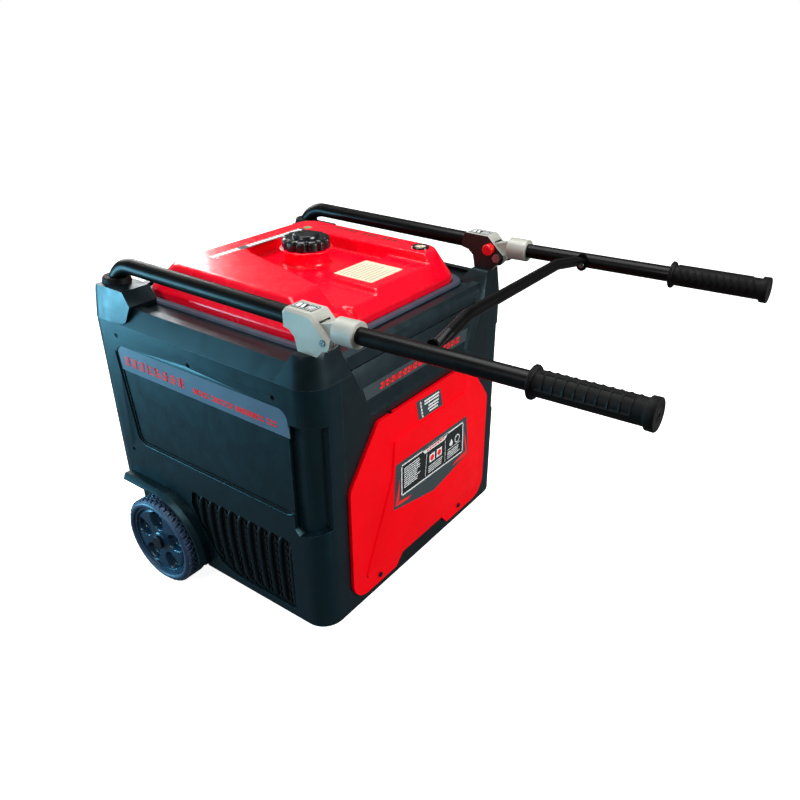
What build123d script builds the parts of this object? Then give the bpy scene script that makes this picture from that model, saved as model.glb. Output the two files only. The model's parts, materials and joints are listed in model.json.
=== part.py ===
"""Portable inverter generator on two wheels, with a pair of folding barrow handles.

X is the width, Y runs from the grips at the front (-Y) to the wheels at the back, Z is up
and the floor is z = 0.
The long side with the wheel, the louvre and the side band is repeated on both sides.
"""

import os
from math import cos, radians, sin

from build123d import *

os.makedirs("parts", exist_ok=True)

# Driving dimensions, mm
BODY_WIDTH = 555
BODY_FRONT = -31
BODY_REAR = 500
BODY_BOTTOM = 58
BODY_CORNER = 40
SEAM_Z = 515
DECK_Z = 540
WALL = 6
SPLIT_X = 214
CLEARANCE = 0.3

WHEEL_RADIUS = 89
WHEEL_Y = 368
WHEEL_OUTER_X = 311
TYRE_WIDTH = 48
RIM_RADIUS = 73
AXLE_RADIUS = 8
WELL_RADIUS = 104
WELL_INNER_X = 238
FLARE_X = 300
RUNNING_FIT = 0.05

RAIL_X = 239
RAIL_RADIUS = 14
RAIL_Z = 608.6
RAIL_BEND = 60
RAIL_POST_Y = 458
TUBE_WALL = 2

PIVOT_Y = -38.6
PIVOT_Z = 592
HANDLE_RADIUS = 12.5
HANDLE_PITCH = 1.9
HANDLE_END_Y = -500

TANK_TOP = 602
RECESS_Z = 575
PAD_Z = 585
CAP_X = 33
CAP_Y = 259
CAP_Z = 605

DOOR_BACK_Y = -31.4
DOOR_FACE_Y = -38
DOOR_HINGE_Y = -34.2
DOOR_HINGE_Z = 405.5

PANEL_X = 271.5
TRAY_Z = 64
CRANK_Y = 200
CRANK_Z = 190
CRANK_RADIUS = 12

BODY_LENGTH = BODY_REAR - BODY_FRONT
BODY_CENTRE_Y = (BODY_REAR + BODY_FRONT) / 2
HALF_WIDTH = BODY_WIDTH / 2
BEYOND = 60


def side_block(points, x0, x1):
    """A block with the outline `points` (y, z), from x0 to x1."""
    with BuildPart() as block:
        with BuildSketch(Plane.YZ.offset(x0)):
            with BuildLine():
                Polyline(*points, close=True)
            make_face()
        extrude(amount=x1 - x0)
    return block.part


def front_block(points, y0, y1):
    """A block with the outline `points` (x, z), from y0 to y1."""
    with BuildPart() as block:
        with BuildSketch(Plane.XZ.offset(-y0)):
            with BuildLine():
                Polyline(*points, close=True)
            make_face()
        extrude(amount=y0 - y1)
    return block.part


def plan_block(points, z0, z1, radius=0, grow=0):
    """A block with the plan `points` (x, y) grown by `grow`, from z0 to z1, with rounded upright edges."""
    with BuildPart() as block:
        with BuildSketch(Plane.XY.offset(z0)) as plan:
            with BuildLine():
                Polyline(*points, close=True)
            make_face()
            if radius:
                fillet(plan.vertices(), radius)
            if grow:
                offset(amount=grow)
        extrude(amount=z1 - z0)
    return block.part


def cross_cylinder(y, z, radius, x0, x1):
    """A cylinder along X."""
    with BuildPart() as rod:
        with BuildSketch(Plane.YZ.offset(x0)):
            with Locations((y, z)):
                Circle(radius)
        extrude(amount=x1 - x0)
    return rod.part


def body_prism(inset, z0, z1, taper=0):
    """The rounded plan of the body, drawn in by `inset`, from z0 to z1."""
    with BuildPart() as prism:
        with BuildSketch(Plane.XY.offset(z0)):
            with Locations((0, BODY_CENTRE_Y)):
                RectangleRounded(BODY_WIDTH - 2 * inset, BODY_LENGTH - 2 * inset, BODY_CORNER - inset)
        extrude(amount=z1 - z0, taper=taper)
    return prism.part


def mirrored(piece):
    """The same piece on the other side."""
    return mirror(piece, about=Plane.YZ)


def rail_rod(radius):
    """The left side rail as a rod: straight, then bent down into the rear post."""
    with BuildPart() as rod:
        with BuildLine(Plane.YZ.offset(-RAIL_X)):
            straight = Line((20, RAIL_Z), (RAIL_POST_Y - RAIL_BEND, RAIL_Z))
            bend = JernArc(straight @ 1, straight % 1, RAIL_BEND, -90)
            Line(bend @ 1, (RAIL_POST_Y, DECK_Z + 2))
        with BuildSketch(Plane(origin=(-RAIL_X, 20, RAIL_Z), x_dir=(1, 0, 0), z_dir=(0, 1, 0))):
            Circle(radius)
        sweep()
    return rod.part


# ---------------------------------------------------------------- side shells

SCOOP_DEPTH = 12
SCOOP_EDGE_X = -245
SIDE_SCREWS = [(424, 492), (238, 487), (49.5, 488), (438, 257.6)]
SCREW_RADIUS = 4.5
SCREW_DEPTH = 2.5
RECESS_DEPTH = 3
RECESS_OUTLINE = [(22, 281), (412, 281), (435, 474), (22, 474)]
RECESS_CORNER = 20
BAND_BOTTOM = 427
LOUVRE_OUTLINE = [(38, 77), (179, 77), (222, 88), (252, 126), (272, 160), (288, 195), (282, 225), (38, 225)]
LOUVRE_CORNER = 8


def corner_scoop(grow):
    """The hollow that wraps the front left corner, or the same grown by the wall for the inner face."""
    outline = [
        (-BEYOND, 270 - grow),
        (16 + grow, 246 - grow),
        (25 + grow, 256 - grow),
        (25 + grow, 444 + grow),
        (16 + grow, 452 + grow),
        (-BEYOND, 452 + grow),
    ]
    block = side_block(outline, -HALF_WIDTH - BEYOND, SCOOP_EDGE_X + grow)
    core = body_prism(SCOOP_DEPTH + grow, 200, 500)
    return block - core


def arch_block(radius, x0, x1):
    """The outline of the wheel arch, round in front and open behind, from x0 to x1."""
    top = WHEEL_RADIUS + radius
    end = BODY_REAR + BEYOND
    behind = [(WHEEL_Y, -BEYOND), (end, -BEYOND), (end, top), (WHEEL_Y, top)]
    return cross_cylinder(WHEEL_Y, WHEEL_RADIUS, radius, x0, x1) + side_block(behind, x0, x1)


def wheel_well(grow):
    """The space around the left wheel, or the same grown by the wall."""
    return arch_block(WELL_RADIUS + grow, -HALF_WIDTH - BEYOND, -WELL_INNER_X + grow)


body_outer = body_prism(0, BODY_BOTTOM, SEAM_Z)
body_inner = body_prism(WALL, BODY_BOTTOM, SEAM_Z)
scoop = corner_scoop(0)
scoop_inner = corner_scoop(WALL)
well = wheel_well(0)
well_inner = wheel_well(WALL - 1)
axle_rod = cross_cylinder(WHEEL_Y, WHEEL_RADIUS, AXLE_RADIUS, -WELL_INNER_X - 1, 0)
left_zone = plan_block([(-400, -100), (-SPLIT_X, -100), (-SPLIT_X, 600), (-400, 600)], 0, 700)

with BuildPart() as bottom_rounded:
    add(body_outer)
    fillet(bottom_rounded.edges().group_by(Axis.Z)[0], 5)

FLARE_LIP = 11
FLARE_BEVEL = 8
FLARE_END_Y = 466
FLARE_ZONE = [(200, 78), (FLARE_END_Y, 78), (FLARE_END_Y, 260), (200, 260)]
flare_block = arch_block(WELL_RADIUS + FLARE_LIP, -FLARE_X, -HALF_WIDTH + WALL)
with BuildPart() as flare:
    add(flare_block & side_block(FLARE_ZONE, -FLARE_X, -HALF_WIDTH + WALL))
    fillet(flare.edges().filter_by(Axis.X).group_by(Axis.Z)[-1].sort_by(Axis.Y)[-1], FLARE_LIP - 1)
    chamfer(flare.faces().sort_by(Axis.X)[0].edges().filter_by_position(Axis.Z, 90, 300), FLARE_BEVEL)
    add(well, mode=Mode.SUBTRACT)

with BuildPart() as shell_space:
    add(body_inner)
    add(scoop_inner, mode=Mode.SUBTRACT)
    add(well_inner, mode=Mode.SUBTRACT)


def side_shell():
    """The left side shell before its own openings."""
    with BuildPart() as shell:
        add(bottom_rounded.part)
        add(scoop, mode=Mode.SUBTRACT)
        add(flare.part)
        add(shell_space.part, mode=Mode.SUBTRACT)
        add(well, mode=Mode.SUBTRACT)
        add(left_zone, mode=Mode.INTERSECT)
        with BuildSketch(Plane.YZ.offset(-HALF_WIDTH)) as recess:
            with BuildLine():
                Polyline(*RECESS_OUTLINE, close=True)
            make_face()
            fillet(recess.vertices(), RECESS_CORNER)
        extrude(amount=RECESS_DEPTH, mode=Mode.SUBTRACT)
        with BuildSketch(Plane.YZ.offset(-HALF_WIDTH)) as louvre_opening:
            with BuildLine():
                Polyline(*LOUVRE_OUTLINE, close=True)
            make_face()
            fillet(louvre_opening.vertices(), LOUVRE_CORNER)
        extrude(amount=WALL, mode=Mode.SUBTRACT)
        with BuildSketch(Plane.YZ.offset(-HALF_WIDTH)):
            with Locations(*SIDE_SCREWS):
                Circle(SCREW_RADIUS)
        extrude(amount=SCREW_DEPTH, mode=Mode.SUBTRACT)
        add(axle_rod, mode=Mode.SUBTRACT)
    return shell.part


left_shell = side_shell()

with BuildPart() as housing_left:
    add(left_shell)

PANEL_OPENING = (50, 400, 292, 418)
with BuildPart() as housing_right:
    add(mirrored(left_shell))
    y0, y1, z0, z1 = PANEL_OPENING
    with BuildSketch(Plane.YZ.offset(PANEL_X)):
        with Locations(((y0 + y1) / 2, (z0 + z1) / 2)):
            RectangleRounded(y1 - y0, z1 - z0, 8)
    extrude(amount=WALL, mode=Mode.SUBTRACT)

# Louvres: eleven fins in the opening, on a slotted backing plate
FIN_COUNT = 11
FIN_PITCH = 24.2
FIN_WIDTH = 8
FIN_FIRST_Y = 38
FIN_PROUD = 1.5
LOUVRE_PLATE = 3
LOUVRE_FRAME = 6
LOUVRE_SLOT = (96, 5)
LOUVRE_SLOT_Z = 156
fin_ys = [FIN_FIRST_Y + FIN_WIDTH / 2 + FIN_PITCH * i for i in range(FIN_COUNT)]
gap_ys = [y + FIN_PITCH / 2 for y in fin_ys[:-1]]
louvre_plane = Plane.YZ.offset(-HALF_WIDTH + WALL)

with BuildPart() as louvre_left:
    with BuildSketch(louvre_plane) as plate:
        with BuildLine():
            Polyline(*LOUVRE_OUTLINE, close=True)
        make_face()
        fillet(plate.vertices(), LOUVRE_CORNER)
        offset(amount=LOUVRE_FRAME)
        for y in gap_ys:
            with Locations((y, LOUVRE_SLOT_Z)):
                SlotOverall(*LOUVRE_SLOT, rotation=90, mode=Mode.SUBTRACT)
    extrude(amount=LOUVRE_PLATE)
    with BuildSketch(louvre_plane) as fins:
        with BuildLine():
            Polyline(*LOUVRE_OUTLINE, close=True)
        make_face()
        fillet(fins.vertices(), LOUVRE_CORNER)
        with Locations(*[(y, 150) for y in fin_ys]):
            Rectangle(FIN_WIDTH, 200, mode=Mode.INTERSECT)
    extrude(amount=-WALL - FIN_PROUD)

louvre_pair = louvre_left.part
with BuildPart() as louvres:
    add(louvre_pair)
    add(mirrored(louvre_pair))

BAND_THICK = 1.5
with BuildPart() as band:
    with BuildSketch(Plane.YZ.offset(-HALF_WIDTH + RECESS_DEPTH)) as band_outline:
        with BuildLine():
            Polyline(*RECESS_OUTLINE, close=True)
        make_face()
        fillet(band_outline.vertices(), RECESS_CORNER)
        with Locations((BODY_CENTRE_Y, BAND_BOTTOM + 50)):
            Rectangle(BODY_LENGTH, 100, mode=Mode.INTERSECT)
    extrude(amount=-BAND_THICK)
side_band = band.part
with BuildPart() as side_bands:
    add(side_band)
    add(mirrored(side_band))

with BuildPart() as screw_set:
    with BuildSketch(Plane.YZ.offset(-HALF_WIDTH + SCREW_DEPTH)):
        with Locations(*SIDE_SCREWS):
            Circle(SCREW_RADIUS)
    extrude(amount=-1.5)
    with BuildSketch(Plane.YZ.offset(-HALF_WIDTH + SCREW_DEPTH - 1.5)):
        with Locations(*SIDE_SCREWS):
            Rectangle(5, 1.2)
            Rectangle(1.2, 5)
    extrude(amount=1, mode=Mode.SUBTRACT)
left_screws = screw_set.part
with BuildPart() as panel_screws:
    add(left_screws)
    add(mirrored(left_screws))

# ---------------------------------------------------------------- front, rear and base

OPENING_OUTLINE = [(-128, 394), (128, 394), (194, 304), (194, 112), (-194, 112), (-194, 304)]
SCOOP_OUTLINE = [(-142, 434), (142, 434), (182, 515), (205, 560), (-205, 560), (-182, 515)]
SCOOP_BORDER = 8
SCOOP_FLOOR = [(-BEYOND, 400), (BODY_FRONT + SCOOP_BORDER, 400), (-19, 560), (-BEYOND, 560)]
LATCH_XS = (-140, 118)
LATCH_Z = 98
LUG_XS = (-100, 100)
LUG_WIDTH = 6
LUG_RADIUS = 2.4
PIN_RADIUS = 1.3
GROOVE_RADIUS = 7.2
GROOVE_END_X = 128
GROOVE_FADE = 12
GROOVE_TAPER = 13.5
BACKING_SIZE = (400, 86)
BACKING_Z = 470

with BuildPart() as hinge_groove:
    with BuildSketch(Plane.YZ.offset(-GROOVE_END_X)) as groove_end:
        with Locations((DOOR_HINGE_Y, DOOR_HINGE_Z)):
            Circle(GROOVE_RADIUS)
    extrude(amount=2 * GROOVE_END_X)
    extrude(groove_end.sketch, amount=-GROOVE_FADE, taper=GROOVE_TAPER)
    mirror(about=Plane.YZ)

with BuildPart() as scoop_tool:
    with BuildSketch(Plane(origin=(0, BODY_FRONT, 0), x_dir=(-1, 0, 0), z_dir=(0, 1, 0))):
        with BuildLine():
            Polyline(*SCOOP_OUTLINE, close=True)
        make_face()
        offset(amount=SCOOP_BORDER, kind=Kind.INTERSECTION)
    extrude(amount=2 * SCOOP_BORDER, taper=45)
    add(side_block(SCOOP_FLOOR, -300, 300), mode=Mode.INTERSECT)
front_scoop = scoop_tool.part

with BuildPart() as front_frame:
    with BuildSketch(Plane.XZ.offset(-BODY_FRONT)) as frame_face:
        with Locations((0, (BODY_BOTTOM + SEAM_Z) / 2)):
            Rectangle(2 * SPLIT_X, SEAM_Z - BODY_BOTTOM)
        with BuildSketch(Plane.XZ.offset(-BODY_FRONT), mode=Mode.SUBTRACT) as opening:
            with BuildLine():
                Polyline(*OPENING_OUTLINE, close=True)
            make_face()
            fillet(opening.vertices(), 20)
    extrude(amount=-WALL)
    add(bottom_rounded.part, mode=Mode.INTERSECT)
    with BuildSketch(Plane.XZ.offset(-BODY_FRONT - WALL)):
        with Locations((0, BACKING_Z)):
            Rectangle(*BACKING_SIZE)
    extrude(amount=-WALL - 2)
    add(front_scoop, mode=Mode.SUBTRACT)
    add(hinge_groove.part, mode=Mode.SUBTRACT)
    for x in LUG_XS:
        with BuildSketch(Plane.YZ.offset(x - LUG_WIDTH / 2)):
            with Locations((DOOR_HINGE_Y, DOOR_HINGE_Z)):
                Circle(LUG_RADIUS)
            with Locations(((DOOR_HINGE_Y - 26) / 2, DOOR_HINGE_Z)):
                Rectangle(-26 - DOOR_HINGE_Y, 3.6)
            with Locations((DOOR_HINGE_Y, DOOR_HINGE_Z)):
                Circle(PIN_RADIUS, mode=Mode.SUBTRACT)
        extrude(amount=LUG_WIDTH)
    with BuildSketch(Plane.XZ.offset(-BODY_FRONT)):
        with Locations(*[(x, LATCH_Z) for x in LATCH_XS]):
            Circle(4.2)
    extrude(amount=-WALL, mode=Mode.SUBTRACT)

# Rear panel with the outlet grille and the hole of the exhaust outlet
OUTLET_X = -100
OUTLET_Z = 300
OUTLET_RADIUS = 15
OUTLET_HOLE = 19
GRILLE_SLOTS = 9

with BuildPart() as rear_panel:
    with BuildSketch(Plane.XZ.offset(-BODY_REAR + WALL)):
        with Locations((0, (BODY_BOTTOM + SEAM_Z) / 2)):
            Rectangle(2 * SPLIT_X, SEAM_Z - BODY_BOTTOM)
        with Locations((OUTLET_X, OUTLET_Z)):
            Circle(OUTLET_HOLE, mode=Mode.SUBTRACT)
        with GridLocations(0, 18, 1, GRILLE_SLOTS):
            with Locations((70, OUTLET_Z)):
                SlotOverall(190, 8, mode=Mode.SUBTRACT)
    extrude(amount=-WALL)
    add(bottom_rounded.part, mode=Mode.INTERSECT)
    with BuildSketch(Plane.XZ.offset(-BODY_REAR)):
        with Locations((OUTLET_X, OUTLET_Z)):
            Circle(OUTLET_HOLE + 16)
            Circle(OUTLET_HOLE + 12, mode=Mode.SUBTRACT)
    extrude(amount=2, mode=Mode.SUBTRACT)

right_well_inner = mirrored(well_inner)
with BuildPart() as base_tray:
    add(body_prism(WALL, TRAY_Z - 4, TRAY_Z))
    add(well_inner, mode=Mode.SUBTRACT)
    add(right_well_inner, mode=Mode.SUBTRACT)
    with BuildSketch(Plane.XY.offset(TRAY_Z - 4)):
        with Locations((0, 330), (0, 20)):
            SlotOverall(160, 14)
    extrude(amount=4, mode=Mode.SUBTRACT)

FOOT_XS = (-165, 165)
FOOT_Y = 70
PAD_HEIGHT = 20
with BuildPart() as foot_legs:
    with BuildSketch(Plane.XY.offset(PAD_HEIGHT)):
        with Locations(*[(x, FOOT_Y) for x in FOOT_XS]):
            RectangleRounded(44, 44, 6)
            RectangleRounded(36, 36, 4, mode=Mode.SUBTRACT)
    extrude(amount=TRAY_Z - 4 - PAD_HEIGHT)
    with BuildSketch(Plane.XY.offset(PAD_HEIGHT)):
        with Locations(*[(x, FOOT_Y) for x in FOOT_XS]):
            RectangleRounded(40, 40, 5)
    extrude(amount=4)

with BuildPart() as front_feet:
    with BuildSketch():
        with Locations(*[(x, FOOT_Y) for x in FOOT_XS]):
            Circle(23)
    extrude(amount=PAD_HEIGHT, taper=6)
    fillet(front_feet.edges().group_by(Axis.Z)[0], 2)

# ---------------------------------------------------------------- service door

DOOR_OUTLINE = [
    (-137, 411),
    (137, 411),
    (212, 314),
    (212, 82),
    (76, 82),
    (58, 104),
    (-72, 104),
    (-92, 82),
    (-212, 82),
    (-212, 314),
]
DOOR_TOP_CORNER = 18
DOOR_SIDE_CORNER = 30
DOOR_FOOT_CORNER = 40
RAISED_OUTLINE = [
    (-98, 358),
    (126, 358),
    (152, 276),
    (194, 166),
    (184, 112),
    (-184, 112),
    (-172, 140),
    (-105, 286),
]
RAISED_HEIGHT = 2.5
DOOR_SKIN = 3
NOTCH_WIDTH = 8

with BuildPart() as service_door:
    with BuildSketch(Plane.XZ.offset(-DOOR_FACE_Y)) as door_face:
        with BuildLine():
            Polyline(*DOOR_OUTLINE, close=True)
        make_face()
        fillet(door_face.vertices().sort_by(Axis.Y)[-2:], DOOR_TOP_CORNER)
        fillet(door_face.vertices().filter_by_position(Axis.Y, 310, 320), DOOR_SIDE_CORNER)
        fillet(
            door_face.vertices().filter_by_position(Axis.Y, 80, 84).filter_by(lambda v: abs(v.X) > 200),
            DOOR_FOOT_CORNER,
        )
    extrude(amount=DOOR_FACE_Y - DOOR_BACK_Y)
    with BuildSketch(Plane.XZ.offset(-DOOR_FACE_Y)) as raised:
        with BuildLine():
            Polyline(*RAISED_OUTLINE, close=True)
        make_face()
        fillet(raised.vertices(), 10)
    extrude(amount=RAISED_HEIGHT, taper=40)
    with BuildSketch(Plane.XZ.offset(-DOOR_BACK_Y)) as pan:
        with BuildLine():
            Polyline(*OPENING_OUTLINE, close=True)
        make_face()
        fillet(pan.vertices(), 20)
    extrude(amount=-DOOR_FACE_Y + DOOR_BACK_Y - DOOR_SKIN, mode=Mode.SUBTRACT)
    for x in LUG_XS:
        with BuildSketch(Plane.YZ.offset(x - NOTCH_WIDTH / 2)):
            with Locations((DOOR_HINGE_Y, DOOR_HINGE_Z)):
                Circle(LUG_RADIUS + 0.4)
            with Locations((DOOR_HINGE_Y - LUG_RADIUS - 0.4 + 3, DOOR_HINGE_Z + 3)):
                Rectangle(6, 6 + 2 * 0.4 + 2 * LUG_RADIUS)
        extrude(amount=NOTCH_WIDTH, mode=Mode.SUBTRACT)
        add(
            cross_cylinder(DOOR_HINGE_Y, DOOR_HINGE_Z, PIN_RADIUS + RUNNING_FIT, x - 12, x + 12),
            mode=Mode.SUBTRACT,
        )
    with BuildSketch(Plane.XZ.offset(-DOOR_FACE_Y)):
        with Locations(*[(x, LATCH_Z) for x in LATCH_XS]):
            Circle(3 + RUNNING_FIT)
    extrude(amount=DOOR_FACE_Y - DOOR_BACK_Y, mode=Mode.SUBTRACT)

with BuildPart() as door_pins:
    for x in LUG_XS:
        with BuildSketch(Plane.YZ.offset(x - 12)):
            with Locations((DOOR_HINGE_Y, DOOR_HINGE_Z)):
                Circle(PIN_RADIUS)
        extrude(amount=24)


def door_latch(x):
    """A quarter-turn fastener: a slotted head on a stem that reaches into the frame."""
    with BuildPart() as latch:
        with BuildSketch(Plane.XZ.offset(-DOOR_FACE_Y + 0.3)):
            with Locations((x, LATCH_Z)):
                Circle(5)
        extrude(amount=2)
        with BuildSketch(Plane.XZ.offset(-DOOR_FACE_Y + 0.3)):
            with Locations((x, LATCH_Z)):
                Circle(3)
        extrude(amount=-10)
        with BuildSketch(Plane.XZ.offset(-DOOR_FACE_Y + 2.3)):
            with Locations((x, LATCH_Z)):
                Rectangle(8, 1.6)
        extrude(amount=-1.2, mode=Mode.SUBTRACT)
    return latch.part


latch_shape_left = door_latch(LATCH_XS[0])
latch_shape_right = door_latch(LATCH_XS[1])
with BuildPart() as door_latch_left:
    add(latch_shape_left)
with BuildPart() as door_latch_right:
    add(latch_shape_right)

# ---------------------------------------------------------------- top cover

FRONT_POST_SIDE = [(-BEYOND, SEAM_Z), (47, SEAM_Z), (9, 567), (-BEYOND, 567)]
FRONT_POST_FACE = [(-300, SEAM_Z), (-182, SEAM_Z), (-206, 563), (-210, 567), (-300, 567)]
REAR_POST_SIDE = [(403, SEAM_Z), (390, 524), (378, 552), (396, 574), (470, 574), (484, 540), (520, SEAM_Z)]
REAR_POST_FACE = [(-300, SEAM_Z), (-196, SEAM_Z), (-206, 545), (-214, 574), (-300, 574)]
TANK_PLAN = (400, 411, 40)
SEAL_PLAN = (432, 443, 52)
TANK_CENTRE = (0, BODY_CENTRE_Y)

post_core = body_prism(0, SEAM_Z, 580, taper=7)
front_post = side_block(FRONT_POST_SIDE, -300, -150) & front_block(FRONT_POST_FACE, -100, 100) & post_core
rear_post = side_block(REAR_POST_SIDE, -300, -150) & front_block(REAR_POST_FACE, 300, 600) & post_core
rail_solid = rail_rod(RAIL_RADIUS)

with BuildPart() as top_cover:
    add(body_prism(0, SEAM_Z, 546, taper=27))
    add(body_prism(30, DECK_Z, 550), mode=Mode.SUBTRACT)
    for post in (front_post, rear_post):
        add(post)
        mirror(post, about=Plane.YZ)
    add(front_scoop, mode=Mode.SUBTRACT)
    add(body_prism(16, SEAM_Z, DECK_Z - 5), mode=Mode.SUBTRACT)
    with BuildSketch(Plane.XY.offset(SEAM_Z)):
        with Locations(TANK_CENTRE):
            RectangleRounded(*TANK_PLAN)
    extrude(amount=50, mode=Mode.SUBTRACT)
    with BuildSketch(Plane.XY.offset(DECK_Z)):
        with Locations(TANK_CENTRE):
            RectangleRounded(*SEAL_PLAN)
    extrude(amount=50, mode=Mode.SUBTRACT)
    add(rail_solid, mode=Mode.SUBTRACT)
    add(mirror(rail_solid, about=Plane.YZ, mode=Mode.PRIVATE), mode=Mode.SUBTRACT)

# ---------------------------------------------------------------- fuel tank

RECESS_PLAN = [(-43, 325), (-28, 348), (95, 352), (128, 312), (135, -30), (-140, -30)]
NECK_BORE = 31
NECK_RADIUS = 41
TANK_BASE = 470
TANK_FLANGE = 4
TANK_WAIST = 556
TANK_TOP_PLAN = (363, 332, 34)
TANK_TOP_CENTRE = (7.5, 229)
NOSE_SLOPE = [
    (102, TANK_TOP + 20),
    (102, TANK_TOP),
    (62, RECESS_Z),
    (-20, 520),
    (-60, 520),
    (-60, TANK_TOP + 20),
]
NOSE_X = (-220, -98)

PAD_PLAN = [(-38, -40), (160, -40), (160, 155), (-30, 155)]
TANK_SHEET = 2.5
GAUGE_SPOT = (160, 92)
GAUGE_HOLE = 13


def tank_upper(inset):
    """The part of the tank above the deck, drawn in by `inset`."""
    with BuildPart() as upper:
        with BuildSketch(Plane.XY.offset(TANK_WAIST)) as waist:
            with Locations(TANK_CENTRE):
                RectangleRounded(TANK_PLAN[0] - 2 * inset, TANK_PLAN[1] - 2 * inset, TANK_PLAN[2] - inset)
        with BuildSketch(Plane.XY.offset(TANK_TOP - inset)):
            with Locations(TANK_TOP_CENTRE):
                RectangleRounded(
                    TANK_TOP_PLAN[0] - 2 * inset, TANK_TOP_PLAN[1] - 2 * inset, TANK_TOP_PLAN[2] - inset
                )
        loft()
        fillet(upper.edges().group_by(Axis.Z)[-1], 7)
        extrude(waist.sketch, amount=DECK_Z - TANK_WAIST)
        add(side_block([(y - inset, z - inset) for y, z in NOSE_SLOPE], *NOSE_X), mode=Mode.SUBTRACT)
    return upper.part


def tank_recess(sheet):
    """The sunk area round the filler with the raised pad left standing, grown by the sheet."""
    sunk = plan_block(RECESS_PLAN, RECESS_Z - sheet, TANK_TOP + 20, radius=8, grow=sheet)
    pad = plan_block(PAD_PLAN, RECESS_Z - sheet - 1, PAD_Z - sheet, radius=6, grow=-sheet)
    return sunk - pad


tank_outside = tank_upper(0)
tank_hollow = tank_upper(TANK_SHEET) - tank_recess(TANK_SHEET)

with BuildPart() as fuel_tank:
    with BuildSketch(Plane.XY.offset(TANK_BASE)):
        with Locations(TANK_CENTRE):
            RectangleRounded(390, 401, 36)
    extrude(amount=DECK_Z - TANK_BASE)
    with BuildSketch(Plane.XY.offset(DECK_Z)):
        with Locations(TANK_CENTRE):
            RectangleRounded(*TANK_PLAN)
    extrude(amount=-TANK_FLANGE)
    add(tank_outside)
    add(tank_recess(0), mode=Mode.SUBTRACT)
    with BuildSketch(Plane.XY.offset(TANK_BASE + TANK_SHEET)):
        with Locations(TANK_CENTRE):
            RectangleRounded(390 - 2 * TANK_SHEET, 401 - 2 * TANK_SHEET, 36 - TANK_SHEET)
    extrude(amount=DECK_Z - TANK_BASE - TANK_SHEET, mode=Mode.SUBTRACT)
    add(tank_hollow, mode=Mode.SUBTRACT)
    with Locations((CAP_X, CAP_Y, RECESS_Z - TANK_SHEET)):
        Cylinder(NECK_RADIUS, 30, align=(Align.CENTER, Align.CENTER, Align.MIN))
    with Locations((CAP_X, CAP_Y, CAP_Z - 4)):
        Cylinder(49, 3.5, align=(Align.CENTER, Align.CENTER, Align.MIN))
    with Locations((CAP_X, CAP_Y, RECESS_Z)):
        Cylinder(35, 44, align=(Align.CENTER, Align.CENTER, Align.MIN))
    with Locations((CAP_X, CAP_Y, RECESS_Z - 20)):
        Cylinder(NECK_BORE, 80, align=(Align.CENTER, Align.CENTER, Align.MIN), mode=Mode.SUBTRACT)
    with Locations((*GAUGE_SPOT, TANK_TOP - 60)):
        Cylinder(GAUGE_HOLE, 80, align=(Align.CENTER, Align.CENTER, Align.MIN), mode=Mode.SUBTRACT)

with BuildPart() as tank_seal:
    with BuildSketch(Plane.XY.offset(DECK_Z)):
        with Locations(TANK_CENTRE):
            RectangleRounded(*SEAL_PLAN)
            RectangleRounded(*TANK_PLAN, mode=Mode.SUBTRACT)
    extrude(amount=6)
    chamfer(tank_seal.edges().group_by(Axis.Z)[-1].sort_by(SortBy.LENGTH)[-4:], 3)

with BuildPart() as fuel_gauge:
    with Locations((*GAUGE_SPOT, TANK_TOP)):
        Cylinder(16.5, 3.5, align=(Align.CENTER, Align.CENTER, Align.MIN))
        Cylinder(GAUGE_HOLE, 30, align=(Align.CENTER, Align.CENTER, Align.MAX))
    fillet(fuel_gauge.edges().group_by(Axis.Z)[-1], 1.5)
    with Locations((*GAUGE_SPOT, TANK_TOP + 3.5)):
        Cylinder(11, 2, align=(Align.CENTER, Align.CENTER, Align.MAX), mode=Mode.SUBTRACT)

# Filler cap: a scalloped skirt and raised disc that turn on the plug, which lifts out of the neck
CAP_RADIUS = 44
CAP_LOBES = 12
with BuildPart() as fuel_cap:
    with BuildSketch(Plane.XY.offset(CAP_Z)):
        with Locations((CAP_X, CAP_Y)):
            Circle(CAP_RADIUS)
    extrude(amount=19)
    chamfer(fuel_cap.edges().group_by(Axis.Z)[-1], 5)
    with BuildSketch(Plane.XY.offset(CAP_Z)):
        with Locations((CAP_X, CAP_Y)):
            with PolarLocations(CAP_RADIUS + 3, CAP_LOBES):
                Circle(5.5)
    extrude(amount=30, mode=Mode.SUBTRACT)
    with BuildSketch(Plane.XY.offset(CAP_Z + 19)):
        with Locations((CAP_X, CAP_Y)):
            Circle(24)
    extrude(amount=5)
    with BuildSketch(Plane.XY.offset(CAP_Z)):
        with Locations((CAP_X, CAP_Y)):
            Circle(36.5)
    extrude(amount=15, mode=Mode.SUBTRACT)
    with BuildSketch(Plane.XY.offset(CAP_Z + 10)):
        with Locations((CAP_X, CAP_Y)):
            Circle(5 + RUNNING_FIT)
    extrude(amount=10, mode=Mode.SUBTRACT)

with BuildPart() as cap_plug:
    with BuildSketch(Plane.XY.offset(CAP_Z - 5)):
        with Locations((CAP_X, CAP_Y)):
            Circle(30)
    extrude(amount=19)
    fillet(cap_plug.edges().group_by(Axis.Z)[0], 4)
    with BuildSketch(Plane.XY.offset(CAP_Z + 10)):
        with Locations((CAP_X, CAP_Y)):
            Circle(5)
    extrude(amount=9)

# ---------------------------------------------------------------- rails

rail_inner = rail_rod(RAIL_RADIUS - TUBE_WALL)
with BuildPart() as rail_left:
    add(rail_solid)
    add(rail_inner, mode=Mode.SUBTRACT)
rail_shape_right = mirrored(rail_left.part)
with BuildPart() as rail_right:
    add(rail_shape_right)

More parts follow.
